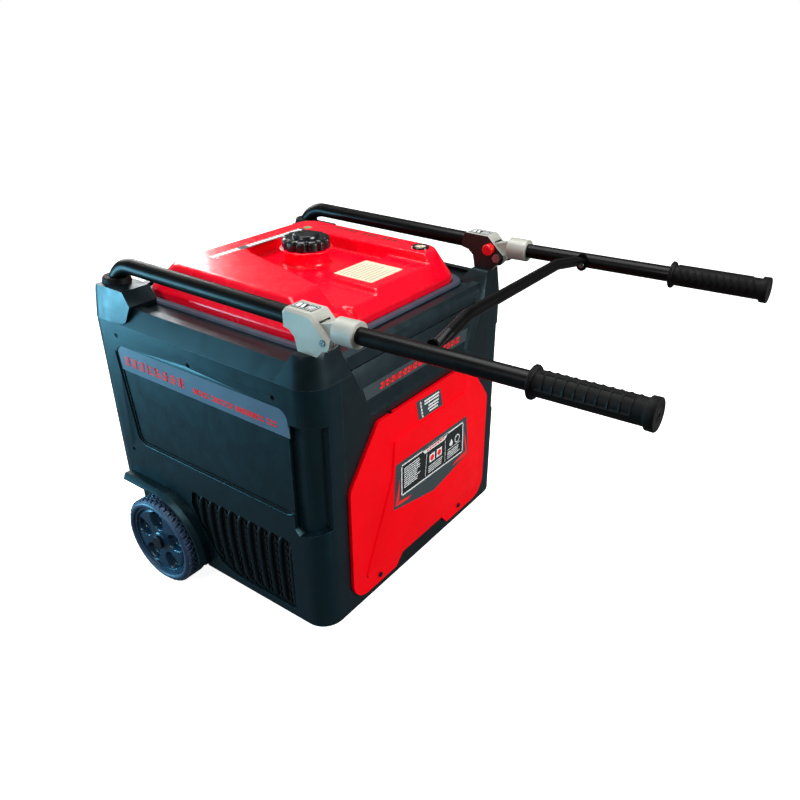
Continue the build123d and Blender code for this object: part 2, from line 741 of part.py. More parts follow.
POST_TOP = 574
with BuildPart() as collar:
    with BuildSketch(Plane.XY.offset(POST_TOP)):
        with Locations((-RAIL_X, RAIL_POST_Y - 7)):
            Circle(25)
    extrude(amount=11, taper=12)
    fillet(collar.edges().group_by(Axis.Z)[-1], 3)
    add(rail_solid, mode=Mode.SUBTRACT)
collar_left = collar.part
with BuildPart() as rail_collars:
    add(collar_left)
    add(mirrored(collar_left))

# ---------------------------------------------------------------- hinge brackets and sockets

BRACKET_OUTER_X = -258
BRACKET_INNER_X = -219
BRACKET_PROFILE = [
    (38, 600),
    (38, 620),
    (31, 628),
    (-16, 628),
    (-30, 615),
    (-42, 604),
    (-50, 598),
    (-51.5, 590),
    (-47, 581),
    (-38, 578.5),
    (-33, 573),
    (-27, 567),
    (10, 567),
    (14, 588),
    (24, 597),
]
SLOT_X = (-249.3, -226.7)
LUG_X = (-248.9, -227.1)
BOLT_RADIUS = 5
KNOB_Y = -22
KNOB_Z = 606
KNOB_STEM = 4

slot_space = cross_cylinder(PIVOT_Y, PIVOT_Z, 28.5, *SLOT_X)
slot_mouth = side_block([(-80, 555), (PIVOT_Y, 555), (PIVOT_Y, 640), (-80, 640)], *SLOT_X)

with BuildPart() as hinge_bracket_left:
    with BuildSketch(Plane.YZ.offset(BRACKET_OUTER_X)):
        with BuildLine():
            Polyline(*BRACKET_PROFILE, close=True)
        make_face()
    extrude(amount=BRACKET_INNER_X - BRACKET_OUTER_X)
    outer_rim = hinge_bracket_left.faces().sort_by(Axis.X)[0].edges()
    chamfer(outer_rim.sort_by(Axis.Z)[-5:], 4)
    add(slot_space, mode=Mode.SUBTRACT)
    add(slot_mouth, mode=Mode.SUBTRACT)
    add(rail_solid, mode=Mode.SUBTRACT)
    add(cross_cylinder(PIVOT_Y, PIVOT_Z, BOLT_RADIUS, -300, -200), mode=Mode.SUBTRACT)
    add(cross_cylinder(KNOB_Y, KNOB_Z, KNOB_STEM + RUNNING_FIT, -235, -200), mode=Mode.SUBTRACT)

bracket_shape_right = mirrored(hinge_bracket_left.part)
with BuildPart() as hinge_bracket_right:
    add(bracket_shape_right)

# The lug turns between the cheeks and carries the barrel that holds the handle tube
PITCH = radians(HANDLE_PITCH)
BARREL_START_Y = -54.5
BARREL_START_Z = 608.9
BARREL_LENGTH = 36
BARREL_RADIUS = 19.5
BORE_START = 3
handle_plane = Plane(
    origin=(-RAIL_X, BARREL_START_Y, BARREL_START_Z), x_dir=(1, 0, 0), z_dir=(0, -cos(PITCH), sin(PITCH))
)
LUG_PROFILE = [
    (-57, 624),
    (-46, 620),
    (-36, 616.5),
    (-22, 614),
    (-17, 608),
    (-16, 602),
    (-24, 596),
    (-28, 586),
    (-38.6, 580),
    (-49, 586),
    (-57, 594),
]

with BuildPart() as hinge_socket_left:
    with BuildSketch(handle_plane):
        Circle(BARREL_RADIUS)
    extrude(amount=BARREL_LENGTH)
    fillet(hinge_socket_left.edges().sort_by(Axis.Y)[0], 1.5)
    with BuildSketch(Plane.YZ.offset(LUG_X[0])):
        with BuildLine():
            Polyline(*LUG_PROFILE, close=True)
        make_face()
    extrude(amount=LUG_X[1] - LUG_X[0])
    with BuildSketch(handle_plane.offset(BORE_START)):
        Circle(HANDLE_RADIUS)
    extrude(amount=BARREL_LENGTH, mode=Mode.SUBTRACT)
    add(cross_cylinder(PIVOT_Y, PIVOT_Z, BOLT_RADIUS + RUNNING_FIT, -300, -200), mode=Mode.SUBTRACT)
    add(cross_cylinder(KNOB_Y, KNOB_Z, KNOB_STEM + 1, -232, -220), mode=Mode.SUBTRACT)

socket_shape_right = mirrored(hinge_socket_left.part)
with BuildPart() as hinge_socket_right:
    add(socket_shape_right)

BOLT_HEAD_X = -212
with BuildPart() as bolt:
    add(cross_cylinder(PIVOT_Y, PIVOT_Z, BOLT_RADIUS, BRACKET_OUTER_X - 1.5, BRACKET_INNER_X))
    with BuildSketch(Plane.YZ.offset(BRACKET_INNER_X)):
        with Locations((PIVOT_Y, PIVOT_Z)):
            RegularPolygon(8.5, 6)
    extrude(amount=BOLT_HEAD_X - BRACKET_INNER_X)
bolt_left = bolt.part
with BuildPart() as hinge_bolts:
    add(bolt_left)
    add(mirrored(bolt_left))

KNOB_RADIUS = 10.5
KNOB_LENGTH = 12
KNOB_START_X = BRACKET_INNER_X + 0.5
with BuildPart() as lock_knob_left:
    add(cross_cylinder(KNOB_Y, KNOB_Z, KNOB_RADIUS, KNOB_START_X, KNOB_START_X + KNOB_LENGTH))
    fillet(lock_knob_left.edges().sort_by(Axis.X)[-1], 3)
    add(cross_cylinder(KNOB_Y, KNOB_Z, KNOB_STEM, -226.7, BRACKET_INNER_X + 1))
knob_shape_right = mirrored(lock_knob_left.part)
with BuildPart() as lock_knob_right:
    add(knob_shape_right)

# ---------------------------------------------------------------- handles

GRIP_LENGTH = 150
GRIP_RADIUS = 16.5
GRIP_FLANGE = 21.5
GRIP_CAP = 20
GRIP_END = (BARREL_START_Y - HANDLE_END_Y - GRIP_CAP * sin(PITCH)) / cos(PITCH)
GRIP_START = GRIP_END - GRIP_LENGTH
TUBE_END = GRIP_END - 10
BRACE_Y = -200
BRACE_SCREW_Z = 609
BRACE_ROOT_Z = 618.5

screw_hole = cross_cylinder(BRACE_Y, BRACE_SCREW_Z, 3, -232, -215)
with BuildPart() as handle_tube_left:
    with BuildSketch(handle_plane.offset(BORE_START)):
        Circle(HANDLE_RADIUS)
        Circle(HANDLE_RADIUS - TUBE_WALL, mode=Mode.SUBTRACT)
    extrude(amount=TUBE_END - BORE_START)
    add(screw_hole, mode=Mode.SUBTRACT)
tube_shape_right = mirrored(handle_tube_left.part)
with BuildPart() as handle_tube_right:
    add(tube_shape_right)

RIB_PITCH = 8
with BuildPart() as grip_left:
    with BuildSketch(handle_plane.offset(GRIP_START)):
        Circle(GRIP_RADIUS)
    extrude(amount=GRIP_LENGTH)
    with BuildSketch(handle_plane.offset(GRIP_START)):
        Circle(GRIP_FLANGE)
    extrude(amount=7)
    with BuildSketch(handle_plane.offset(GRIP_END - 12)):
        Circle(GRIP_CAP)
    extrude(amount=12)
    for i in range(4):
        with BuildSketch(handle_plane.offset(GRIP_START + 12 + RIB_PITCH * i)):
            Circle(GRIP_RADIUS + 1.5)
        extrude(amount=3)
    with BuildSketch(handle_plane.offset(GRIP_START)):
        Circle(HANDLE_RADIUS)
    extrude(amount=TUBE_END - GRIP_START, mode=Mode.SUBTRACT)
    with BuildSketch(handle_plane.offset(TUBE_END)):
        Circle(4.5)
    extrude(amount=20, mode=Mode.SUBTRACT)
grip_shape_right = mirrored(grip_left.part)
with BuildPart() as grip_right:
    add(grip_shape_right)

BRACE_RADIUS = 9
BRACE_TAB = 3.5
BRACE_INNER_X = RAIL_X - HANDLE_RADIUS
BRACE_TAB_X = BRACE_INNER_X - BRACE_TAB
BRACE_BEND_X = 135
BRACE_MID = (-195, 632)
BRACE_NECK_X = 190
BRACE_NECK_Z = BRACE_ROOT_Z + 5
BRACE_TAB_LENGTH = 30

with BuildPart() as tab:
    with BuildSketch(Plane.YZ.offset(-BRACE_INNER_X)):
        with Locations((BRACE_Y, (BRACE_SCREW_Z + BRACE_ROOT_Z) / 2)):
            SlotOverall(BRACE_TAB_LENGTH, 18, rotation=90)
    extrude(amount=BRACE_TAB)
    with BuildSketch(Plane.YZ.offset(-BRACE_TAB_X)):
        with Locations((BRACE_Y, BRACE_ROOT_Z)):
            Ellipse(9, 4)
    with BuildSketch(Plane.YZ.offset(-BRACE_NECK_X)):
        with Locations((BRACE_Y, BRACE_NECK_Z)):
            Circle(BRACE_RADIUS)
    loft()
brace_tab = tab.part


def brace_rod(radius):
    """The bent tube between the two flattened ends."""
    with BuildPart() as rod:
        with BuildLine() as route:
            FilletPolyline(
                (-BRACE_NECK_X, BRACE_Y, BRACE_NECK_Z),
                (-BRACE_BEND_X, *BRACE_MID),
                (BRACE_BEND_X, *BRACE_MID),
                (BRACE_NECK_X, BRACE_Y, BRACE_NECK_Z),
                radius=40,
            )
        with BuildSketch(Plane(origin=route.line @ 0, x_dir=(0, 1, 0), z_dir=(1, 0, 0))):
            Circle(radius)
        sweep()
    return rod.part


brace_solid = brace_rod(BRACE_RADIUS)
brace_hollow = brace_rod(BRACE_RADIUS - TUBE_WALL)
with BuildPart() as cross_brace:
    add(brace_solid)
    add(brace_hollow, mode=Mode.SUBTRACT)
    add(brace_tab)
    add(mirror(brace_tab, about=Plane.YZ, mode=Mode.PRIVATE))
    add(screw_hole, mode=Mode.SUBTRACT)
    add(mirror(screw_hole, about=Plane.YZ, mode=Mode.PRIVATE), mode=Mode.SUBTRACT)

with BuildPart() as brace_screw:
    add(cross_cylinder(BRACE_Y, BRACE_SCREW_Z, 3, -231, -BRACE_TAB_X))
    with BuildSketch(Plane.YZ.offset(-BRACE_TAB_X)):
        with Locations((BRACE_Y, BRACE_SCREW_Z)):
            Circle(5)
    extrude(amount=2.5)
    fillet(brace_screw.edges().sort_by(Axis.X)[-1], 1.2)
brace_screw_left = brace_screw.part
with BuildPart() as brace_screws:
    add(brace_screw_left)
    add(mirrored(brace_screw_left))

# ---------------------------------------------------------------- wheels

HUB_RADIUS = 24
POCKET_RING = 46
POCKET_RADIUS = 15
RIM_FRONT_X = -WHEEL_OUTER_X + 4
RIM_BACK_X = -WHEEL_OUTER_X + TYRE_WIDTH - 4
with BuildPart() as wheel_left:
    add(cross_cylinder(WHEEL_Y, WHEEL_RADIUS, RIM_RADIUS, RIM_FRONT_X, RIM_BACK_X))
    with BuildSketch(Plane.YZ.offset(RIM_FRONT_X)):
        with Locations((WHEEL_Y, WHEEL_RADIUS)):
            Circle(RIM_RADIUS - 6)
            Circle(HUB_RADIUS, mode=Mode.SUBTRACT)
    extrude(amount=8, mode=Mode.SUBTRACT)
    with BuildSketch(Plane.YZ.offset(RIM_BACK_X)):
        with Locations((WHEEL_Y, WHEEL_RADIUS)):
            Circle(RIM_RADIUS - 6)
            Circle(HUB_RADIUS, mode=Mode.SUBTRACT)
    extrude(amount=-14, mode=Mode.SUBTRACT)
    with BuildSketch(Plane.YZ.offset(-WHEEL_OUTER_X)):
        with Locations((WHEEL_Y, WHEEL_RADIUS)):
            with PolarLocations(POCKET_RING, 5, start_angle=18):
                Circle(POCKET_RADIUS)
    extrude(amount=TYRE_WIDTH, mode=Mode.SUBTRACT)
    add(
        cross_cylinder(WHEEL_Y, WHEEL_RADIUS, AXLE_RADIUS + RUNNING_FIT, -WHEEL_OUTER_X, -200),
        mode=Mode.SUBTRACT,
    )

TREAD_BLOCKS = 24
with BuildPart() as tyre_left:
    add(cross_cylinder(WHEEL_Y, WHEEL_RADIUS, WHEEL_RADIUS, -WHEEL_OUTER_X, -WHEEL_OUTER_X + TYRE_WIDTH))
    fillet(tyre_left.edges().filter_by(GeomType.CIRCLE), 8)
    with BuildSketch(Plane.YZ.offset(-WHEEL_OUTER_X)):
        with Locations((WHEEL_Y, WHEEL_RADIUS)):
            with PolarLocations(WHEEL_RADIUS, TREAD_BLOCKS):
                Rectangle(6, 6)
    extrude(amount=TYRE_WIDTH, mode=Mode.SUBTRACT)
    add(cross_cylinder(WHEEL_Y, WHEEL_RADIUS, RIM_RADIUS, -WHEEL_OUTER_X, -200), mode=Mode.SUBTRACT)

wheel_shape_right = mirrored(wheel_left.part)
tyre_shape_right = mirrored(tyre_left.part)
with BuildPart() as wheel_right:
    add(wheel_shape_right)
with BuildPart() as tyre_right:
    add(tyre_shape_right)

AXLE_END_X = WHEEL_OUTER_X - 1
SPACER_RADIUS = 14
with BuildPart() as axle:
    add(cross_cylinder(WHEEL_Y, WHEEL_RADIUS, AXLE_RADIUS, -AXLE_END_X, AXLE_END_X))
    chamfer(axle.edges().filter_by(GeomType.CIRCLE), 1)

BRACKET_X = 200
BRACKET_THICK = 8
with BuildPart() as axle_bracket:
    with BuildSketch(Plane.YZ.offset(-BRACKET_X)):
        with BuildLine():
            Polyline(
                (WHEEL_Y - 24, TRAY_Z),
                (WHEEL_Y + 24, TRAY_Z),
                (WHEEL_Y + 16, WHEEL_RADIUS + 17),
                (WHEEL_Y - 16, WHEEL_RADIUS + 17),
                close=True,
            )
        make_face()
        with Locations((WHEEL_Y, WHEEL_RADIUS)):
            Circle(AXLE_RADIUS, mode=Mode.SUBTRACT)
    extrude(amount=BRACKET_THICK)
axle_bracket_left = axle_bracket.part
with BuildPart() as axle_brackets:
    add(axle_bracket_left)
    add(mirrored(axle_bracket_left))

with BuildPart() as spacer_set:
    with BuildSketch(Plane.YZ.offset(-WELL_INNER_X)):
        with Locations((WHEEL_Y, WHEEL_RADIUS)):
            Circle(SPACER_RADIUS)
            Circle(AXLE_RADIUS, mode=Mode.SUBTRACT)
    extrude(amount=-(WHEEL_OUTER_X - TYRE_WIDTH - WELL_INNER_X) - 4 + CLEARANCE)
    with BuildSketch(Plane.YZ.offset(-WHEEL_OUTER_X + 4 - CLEARANCE)):
        with Locations((WHEEL_Y, WHEEL_RADIUS)):
            Circle(SPACER_RADIUS)
    extrude(amount=-6)
    fillet(spacer_set.edges().sort_by(Axis.X)[0], 2)
    add(cross_cylinder(WHEEL_Y, WHEEL_RADIUS, AXLE_RADIUS, -AXLE_END_X, -260), mode=Mode.SUBTRACT)
spacers_left = spacer_set.part
with BuildPart() as axle_spacers:
    add(spacers_left)
    add(mirrored(spacers_left))

# ---------------------------------------------------------------- control panel

PANEL_THICK = 3.5
SOCKET_SPOTS = [(105, 340), (185, 340)]
SOCKET_RADIUS = 27
COVER_PIN_X = 277.5
COVER_PIN_Z = 373
COVER_PIN_RADIUS = 1.2
SWITCH_SPOT = (345, 352)
START_SPOT = (262, 322)
ROCKER_SPOT = (300, 322)
EARTH_SPOT = (375, 310)
DISPLAY_SPOT = (272, 375)
panel_face = Plane.YZ.offset(PANEL_X)

with BuildPart() as control_panel:
    y0, y1, z0, z1 = PANEL_OPENING
    with BuildSketch(panel_face):
        with Locations(((y0 + y1) / 2, (z0 + z1) / 2)):
            RectangleRounded(y1 - y0 + 20, z1 - z0 + 16, 8)
        with Locations(*SOCKET_SPOTS):
            Circle(SOCKET_RADIUS - 5, mode=Mode.SUBTRACT)
        with Locations(SWITCH_SPOT):
            Circle(4 + RUNNING_FIT, mode=Mode.SUBTRACT)
        with Locations(START_SPOT):
            Circle(8.4, mode=Mode.SUBTRACT)
        with Locations(ROCKER_SPOT):
            Rectangle(14.8, 22.4, mode=Mode.SUBTRACT)
        with Locations(EARTH_SPOT):
            Circle(3, mode=Mode.SUBTRACT)
    extrude(amount=-PANEL_THICK)

with BuildPart() as ac_sockets:
    with BuildSketch(panel_face):
        with Locations(*SOCKET_SPOTS):
            Circle(SOCKET_RADIUS)
    extrude(amount=2.5)
    with BuildSketch(panel_face):
        with Locations(*SOCKET_SPOTS):
            Circle(SOCKET_RADIUS - 5)
    extrude(amount=-22)
    with BuildSketch(Plane.YZ.offset(PANEL_X + 2.5)):
        with Locations(*SOCKET_SPOTS):
            Circle(SOCKET_RADIUS - 6)
    extrude(amount=-9, mode=Mode.SUBTRACT)
    with BuildSketch(Plane.YZ.offset(PANEL_X - 6.5)):
        for y, z in SOCKET_SPOTS:
            with Locations((y - 8, z + 3), (y + 8, z + 3), (y, z - 10)):
                RectangleRounded(2.4, 7, 1)
    extrude(amount=-10, mode=Mode.SUBTRACT)
    for y, z in SOCKET_SPOTS:
        for side in (-1, 1):
            with BuildSketch(Plane.YZ.offset(PANEL_X)):
                with Locations((y + side * 12, COVER_PIN_Z)):
                    Rectangle(5, 7)
            extrude(amount=8.5)
        with BuildSketch(Plane.XZ.offset(-y + 12)):
            with Locations((COVER_PIN_X, COVER_PIN_Z)):
                Circle(COVER_PIN_RADIUS)
        extrude(amount=-24)


def socket_cover(spot):
    """A spring flap over one socket, with a knuckle on the pin above it."""
    y, z = spot
    with BuildPart() as cover:
        with BuildSketch(Plane.YZ.offset(PANEL_X + 2.5 + CLEARANCE)):
            with Locations((y, z)):
                Circle(SOCKET_RADIUS)
            with Locations((y, z + 16)):
                Rectangle(16, 26)
        extrude(amount=3)
        with BuildSketch(Plane.XZ.offset(-y + 9)):
            with Locations((COVER_PIN_X, COVER_PIN_Z)):
                Circle(3)
            with Locations((COVER_PIN_X - 1.5, COVER_PIN_Z - 4)):
                Rectangle(3, 6)
        extrude(amount=-18)
        with BuildSketch(Plane.XZ.offset(-y + 20)):
            with Locations((COVER_PIN_X, COVER_PIN_Z)):
                Circle(COVER_PIN_RADIUS + RUNNING_FIT)
        extrude(amount=-40, mode=Mode.SUBTRACT)
    return cover.part


cover_shapes = [socket_cover(spot) for spot in SOCKET_SPOTS]
with BuildPart() as socket_cover_front:
    add(cover_shapes[0])
with BuildPart() as socket_cover_rear:
    add(cover_shapes[1])

with BuildPart() as panel_display:
    with BuildSketch(panel_face):
        with Locations(DISPLAY_SPOT):
            RectangleRounded(60, 34, 4)
    extrude(amount=2.5)
    with BuildSketch(Plane.YZ.offset(PANEL_X + 2.5)):
        with Locations(DISPLAY_SPOT):
            RectangleRounded(48, 22, 2)
    extrude(amount=-1, mode=Mode.SUBTRACT)

with BuildPart() as engine_switch:
    with BuildSketch(Plane.YZ.offset(PANEL_X + CLEARANCE)):
        with Locations(SWITCH_SPOT):
            Circle(18)
    extrude(amount=4)
    with BuildSketch(Plane.YZ.offset(PANEL_X + CLEARANCE)):
        with Locations(SWITCH_SPOT):
            SlotOverall(34, 10, rotation=90)
    extrude(amount=11)
    with BuildSketch(Plane.YZ.offset(PANEL_X + CLEARANCE)):
        with Locations(SWITCH_SPOT):
            Circle(4)
    extrude(amount=-8)

with BuildPart() as eco_rocker:
    with BuildSketch(Plane.XZ.offset(-ROCKER_SPOT[0] + 7)):
        with BuildLine():
            Polyline(
                (PANEL_X - 7, ROCKER_SPOT[1] - 9),
                (PANEL_X + 2.2, ROCKER_SPOT[1] - 10),
                (PANEL_X + 0.8, ROCKER_SPOT[1]),
                (PANEL_X + 2.2, ROCKER_SPOT[1] + 10),
                (PANEL_X - 7, ROCKER_SPOT[1] + 9),
                close=True,
            )
        make_face()
    extrude(amount=-14)

with BuildPart() as start_button:
    with BuildSketch(Plane.YZ.offset(PANEL_X - 5)):
        with Locations(START_SPOT):
            Circle(8)
    extrude(amount=9)
    fillet(start_button.edges().sort_by(Axis.X)[-1], 1.5)

with BuildPart() as earth_terminal:
    with BuildSketch(Plane.YZ.offset(PANEL_X - 10)):
        with Locations(EARTH_SPOT):
            Circle(3)
    extrude(amount=20)
    with BuildSketch(panel_face):
        with Locations(EARTH_SPOT):
            Circle(7)
            Circle(3, mode=Mode.SUBTRACT)
    extrude(amount=1.5)
    with BuildSketch(Plane.YZ.offset(PANEL_X + 1.5)):
        with Locations(EARTH_SPOT):
            RegularPolygon(5.5, 6)
            Circle(3, mode=Mode.SUBTRACT)
    extrude(amount=4)

# ---------------------------------------------------------------- inside

FIN_STEP = 14
with BuildPart() as engine_block:
    with BuildSketch(Plane.XY.offset(100)):
        with Locations((0, CRANK_Y)):
            RectangleRounded(120, 170, 14)
    extrude(amount=160)
    with BuildSketch(Plane.XY.offset(TRAY_Z)):
        with Locations((-45, CRANK_Y - 65), (45, CRANK_Y - 65), (-45, CRANK_Y + 65), (45, CRANK_Y + 65)):
            RectangleRounded(22, 22, 4)
    extrude(amount=36)
    with BuildSketch(Plane.XY.offset(260)):
        with Locations((0, CRANK_Y)):
            Circle(36)
    extrude(amount=140)
    for i in range(8):
        with BuildSketch(Plane.XY.offset(272 + FIN_STEP * i)):
            with Locations((0, CRANK_Y)):
                RectangleRounded(104, 112, 12)
        extrude(amount=4)
    with BuildSketch(Plane.XY.offset(388)):
        with Locations((0, CRANK_Y)):
            RectangleRounded(96, 104, 14)
    extrude(amount=30)
    with BuildSketch(Plane.YZ.offset(-70)):
        with Locations((CRANK_Y, CRANK_Z)):
            Circle(CRANK_RADIUS + RUNNING_FIT)
    extrude(amount=140, mode=Mode.SUBTRACT)

ROTOR_RADIUS = 70
with BuildPart() as crankshaft:
    add(cross_cylinder(CRANK_Y, CRANK_Z, CRANK_RADIUS, -196, 150))
    add(cross_cylinder(CRANK_Y, CRANK_Z, ROTOR_RADIUS, 78, 128))

with BuildPart() as stator:
    with BuildSketch(Plane.YZ.offset(80)):
        with Locations((CRANK_Y, CRANK_Z)):
            Circle(92)
        with Locations((CRANK_Y, (TRAY_Z + 120) / 2)):
            Rectangle(110, 120 - TRAY_Z)
        with Locations((CRANK_Y, CRANK_Z)):
            Circle(ROTOR_RADIUS + 1, mode=Mode.SUBTRACT)
    extrude(amount=46)

FAN_X = -190
with BuildPart() as cooling_fan:
    with BuildSketch(Plane.YZ.offset(FAN_X)):
        with Locations((CRANK_Y, CRANK_Z)):
            Circle(28)
            with PolarLocations(52, 9):
                Rectangle(60, 6, rotation=18)
            Circle(CRANK_RADIUS, mode=Mode.SUBTRACT)
    extrude(amount=34)
    with BuildSketch(Plane.YZ.offset(FAN_X + 34)):
        with Locations((CRANK_Y, CRANK_Z)):
            Circle(84)
            Circle(CRANK_RADIUS, mode=Mode.SUBTRACT)
    extrude(amount=4)

with BuildPart() as muffler:
    with BuildSketch(Plane.YZ.offset(-150)):
        with Locations((405, OUTLET_Z + 10)):
            RectangleRounded(110, 120, 40)
    extrude(amount=210)
    with BuildSketch(Plane.YZ.offset(-148)):
        with Locations((405, OUTLET_Z + 10)):
            RectangleRounded(106, 116, 38)
    extrude(amount=206, mode=Mode.SUBTRACT)
    with BuildSketch(Plane.XZ.offset(-450)):
        with Locations((OUTLET_X, OUTLET_Z)):
            Circle(OUTLET_RADIUS)
    extrude(amount=-48)
    with BuildSketch(Plane.XZ.offset(-440)):
        with Locations((OUTLET_X, OUTLET_Z)):
            Circle(OUTLET_RADIUS - 2)
    extrude(amount=-60, mode=Mode.SUBTRACT)
    with BuildSketch(Plane.XZ.offset(-CRANK_Y - 56)):
        with Locations((0, 310)):
            Circle(14)
    extrude(amount=-95)

with BuildPart() as inverter_module:
    with BuildSketch(Plane.XY.offset(TRAY_Z)):
        with Locations((130, 40)):
            RectangleRounded(140, 90, 6)
    extrude(amount=70)
    with BuildSketch(Plane.XY.offset(TRAY_Z + 70)):
        with GridLocations(12, 0, 11, 1):
            with Locations((130, 40)):
                Rectangle(3, 86)
    extrude(amount=24)

with BuildPart() as battery:
    with BuildSketch(Plane.XY.offset(TRAY_Z)):
        with Locations((-150, 45)):
            RectangleRounded(110, 80, 5)
    extrude(amount=105)
    with BuildSketch(Plane.XY.offset(TRAY_Z + 105)):
        with Locations((-190, 45), (-110, 45)):
            Circle(6)
    extrude(amount=10)

# ---------------------------------------------------------------- write the pieces

pieces = {
    "base_tray": base_tray,
    "housing_left": housing_left,
    "housing_right": housing_right,
    "front_frame": front_frame,
    "rear_panel": rear_panel,
    "top_cover": top_cover,
    "louvres": louvres,
    "side_bands": side_bands,
    "panel_screws": panel_screws,
    "foot_legs": foot_legs,
    "front_feet": front_feet,
    "service_door": service_door,
    "door_pins": door_pins,
    "door_latch_left": door_latch_left,
    "door_latch_right": door_latch_right,
    "fuel_tank": fuel_tank,
    "tank_seal": tank_seal,
    "fuel_gauge": fuel_gauge,
    "fuel_cap": fuel_cap,
    "cap_plug": cap_plug,
    "rail_left": rail_left,
    "rail_right": rail_right,
    "rail_collars": rail_collars,
    "hinge_bracket_left": hinge_bracket_left,
    "hinge_bracket_right": hinge_bracket_right,
    "hinge_socket_left": hinge_socket_left,
    "hinge_socket_right": hinge_socket_right,
    "hinge_bolts": hinge_bolts,
    "lock_knob_left": lock_knob_left,
    "lock_knob_right": lock_knob_right,
    "handle_tube_left": handle_tube_left,
    "handle_tube_right": handle_tube_right,
    "cross_brace": cross_brace,
    "brace_screws": brace_screws,
    "grip_left": grip_left,
    "grip_right": grip_right,
    "axle": axle,
    "axle_brackets": axle_brackets,
    "axle_spacers": axle_spacers,
    "wheel_left": wheel_left,
    "wheel_right": wheel_right,
    "tyre_left": tyre_left,
    "tyre_right": tyre_right,
    "control_panel": control_panel,
    "ac_sockets": ac_sockets,
    "socket_cover_front": socket_cover_front,
    "socket_cover_rear": socket_cover_rear,
    "panel_display": panel_display,
    "engine_switch": engine_switch,
    "eco_rocker": eco_rocker,
    "start_button": start_button,
    "earth_terminal": earth_terminal,
    "engine_block": engine_block,
    "crankshaft": crankshaft,
    "cooling_fan": cooling_fan,
    "stator": stator,
    "muffler": muffler,
    "inverter_module": inverter_module,
    "battery": battery,
}
for name, piece in pieces.items():
    piece.part.label = name
    export_step(piece.part, f"parts/{name}.step")
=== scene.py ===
import json
import math
import random

import bmesh
import bpy
from mathutils import Matrix, Vector


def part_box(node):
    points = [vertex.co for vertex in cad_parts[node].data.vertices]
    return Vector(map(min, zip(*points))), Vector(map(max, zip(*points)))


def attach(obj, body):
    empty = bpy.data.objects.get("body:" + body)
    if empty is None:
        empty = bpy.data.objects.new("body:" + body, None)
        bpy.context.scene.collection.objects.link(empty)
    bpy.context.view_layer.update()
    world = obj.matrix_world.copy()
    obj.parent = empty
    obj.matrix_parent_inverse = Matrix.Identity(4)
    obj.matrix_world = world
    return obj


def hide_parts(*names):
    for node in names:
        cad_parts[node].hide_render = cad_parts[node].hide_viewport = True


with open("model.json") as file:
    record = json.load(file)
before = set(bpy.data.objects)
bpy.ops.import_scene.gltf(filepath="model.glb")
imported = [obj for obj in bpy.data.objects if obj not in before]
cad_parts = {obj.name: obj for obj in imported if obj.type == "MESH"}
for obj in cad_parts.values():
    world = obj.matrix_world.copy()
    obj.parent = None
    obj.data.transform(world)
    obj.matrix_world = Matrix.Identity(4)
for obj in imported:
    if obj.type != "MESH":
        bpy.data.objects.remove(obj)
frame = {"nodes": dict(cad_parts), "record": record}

NODES = frame["nodes"]
BODY_OF = {n: body for body, names in frame["record"]["behaviour"]["bodies"].items() for n in names}
SLOT_OF = {s["node"]: s["material_slot"] for s in frame["record"]["subparts"]}
MM = 0.001
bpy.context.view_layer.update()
scene = bpy.context.scene

# ---------------- camera, floor and lights


def camera():
    """The camera at the photograph's angle."""
    right = Vector((0.57870776, -0.81548752, 0.00879971))
    up = Vector((0.38558381, 0.28310421, 0.87816692))
    back = -Vector((0.71862539, 0.50480899, -0.47827339))
    data = bpy.data.cameras.new("camera")
    data.sensor_width = 36
    data.lens = 33.873
    data.shift_x = -0.0227
    data.shift_y = 0.0063
    cam = bpy.data.objects.new("camera", data)
    place = Matrix.Translation((-0.95529, -0.69011, 1.01209))
    cam.matrix_world = place @ Matrix((right, up, back)).transposed().to_4x4()
    scene.collection.objects.link(cam)
    scene.camera = cam


def area_light(name, place, aim, size, power, colour=(1, 1, 1)):
    """A rectangular lamp at a place, turned to face another."""
    data = bpy.data.lights.new(name, "AREA")
    data.shape = "RECTANGLE"
    data.size, data.size_y = size
    data.energy = power
    data.color = colour
    lamp = bpy.data.objects.new(name, data)
    lamp.location = place
    lamp.rotation_euler = (Vector(aim) - Vector(place)).to_track_quat("-Z", "Y").to_euler()
    scene.collection.objects.link(lamp)


def seen_as(tree, socket, lighting, visible):
    """Gives a strength one value as light and another where the camera sees it."""
    path = tree.nodes.new("ShaderNodeLightPath")
    level = tree.nodes.new("ShaderNodeMapRange")
    level.inputs["To Min"].default_value = lighting
    level.inputs["To Max"].default_value = visible
    tree.links.new(path.outputs["Is Camera Ray"], level.inputs["Value"])
    tree.links.new(level.outputs["Result"], socket)


LAMPS = [  # name, place, aim, size, watts and colour
    ("key", (0.7, -2.7, 1.3), (0, 0, 0.3), (1.4, 1.0), 84),
    ("top", (0.1, 0.5, 2.6), (0, 0.2, 0.4), (1.6, 1.6), 62),
    ("rear", (1.0, 2.9, 1.5), (-0.1, 0.3, 0.5), (1.5, 0.8), 34),
    ("side", (-1.15, 1.6, 0.34), (-0.25, 0.45, 0.3), (0.8, 0.6), 30, (0.26, 0.74, 1.0)),
    ("left", (-2.4, 0.2, 1.7), (-0.28, -0.05, 0.6), (0.7, 0.7), 20),
]
FLOOR_REACH = 30  # metres from the middle to each edge


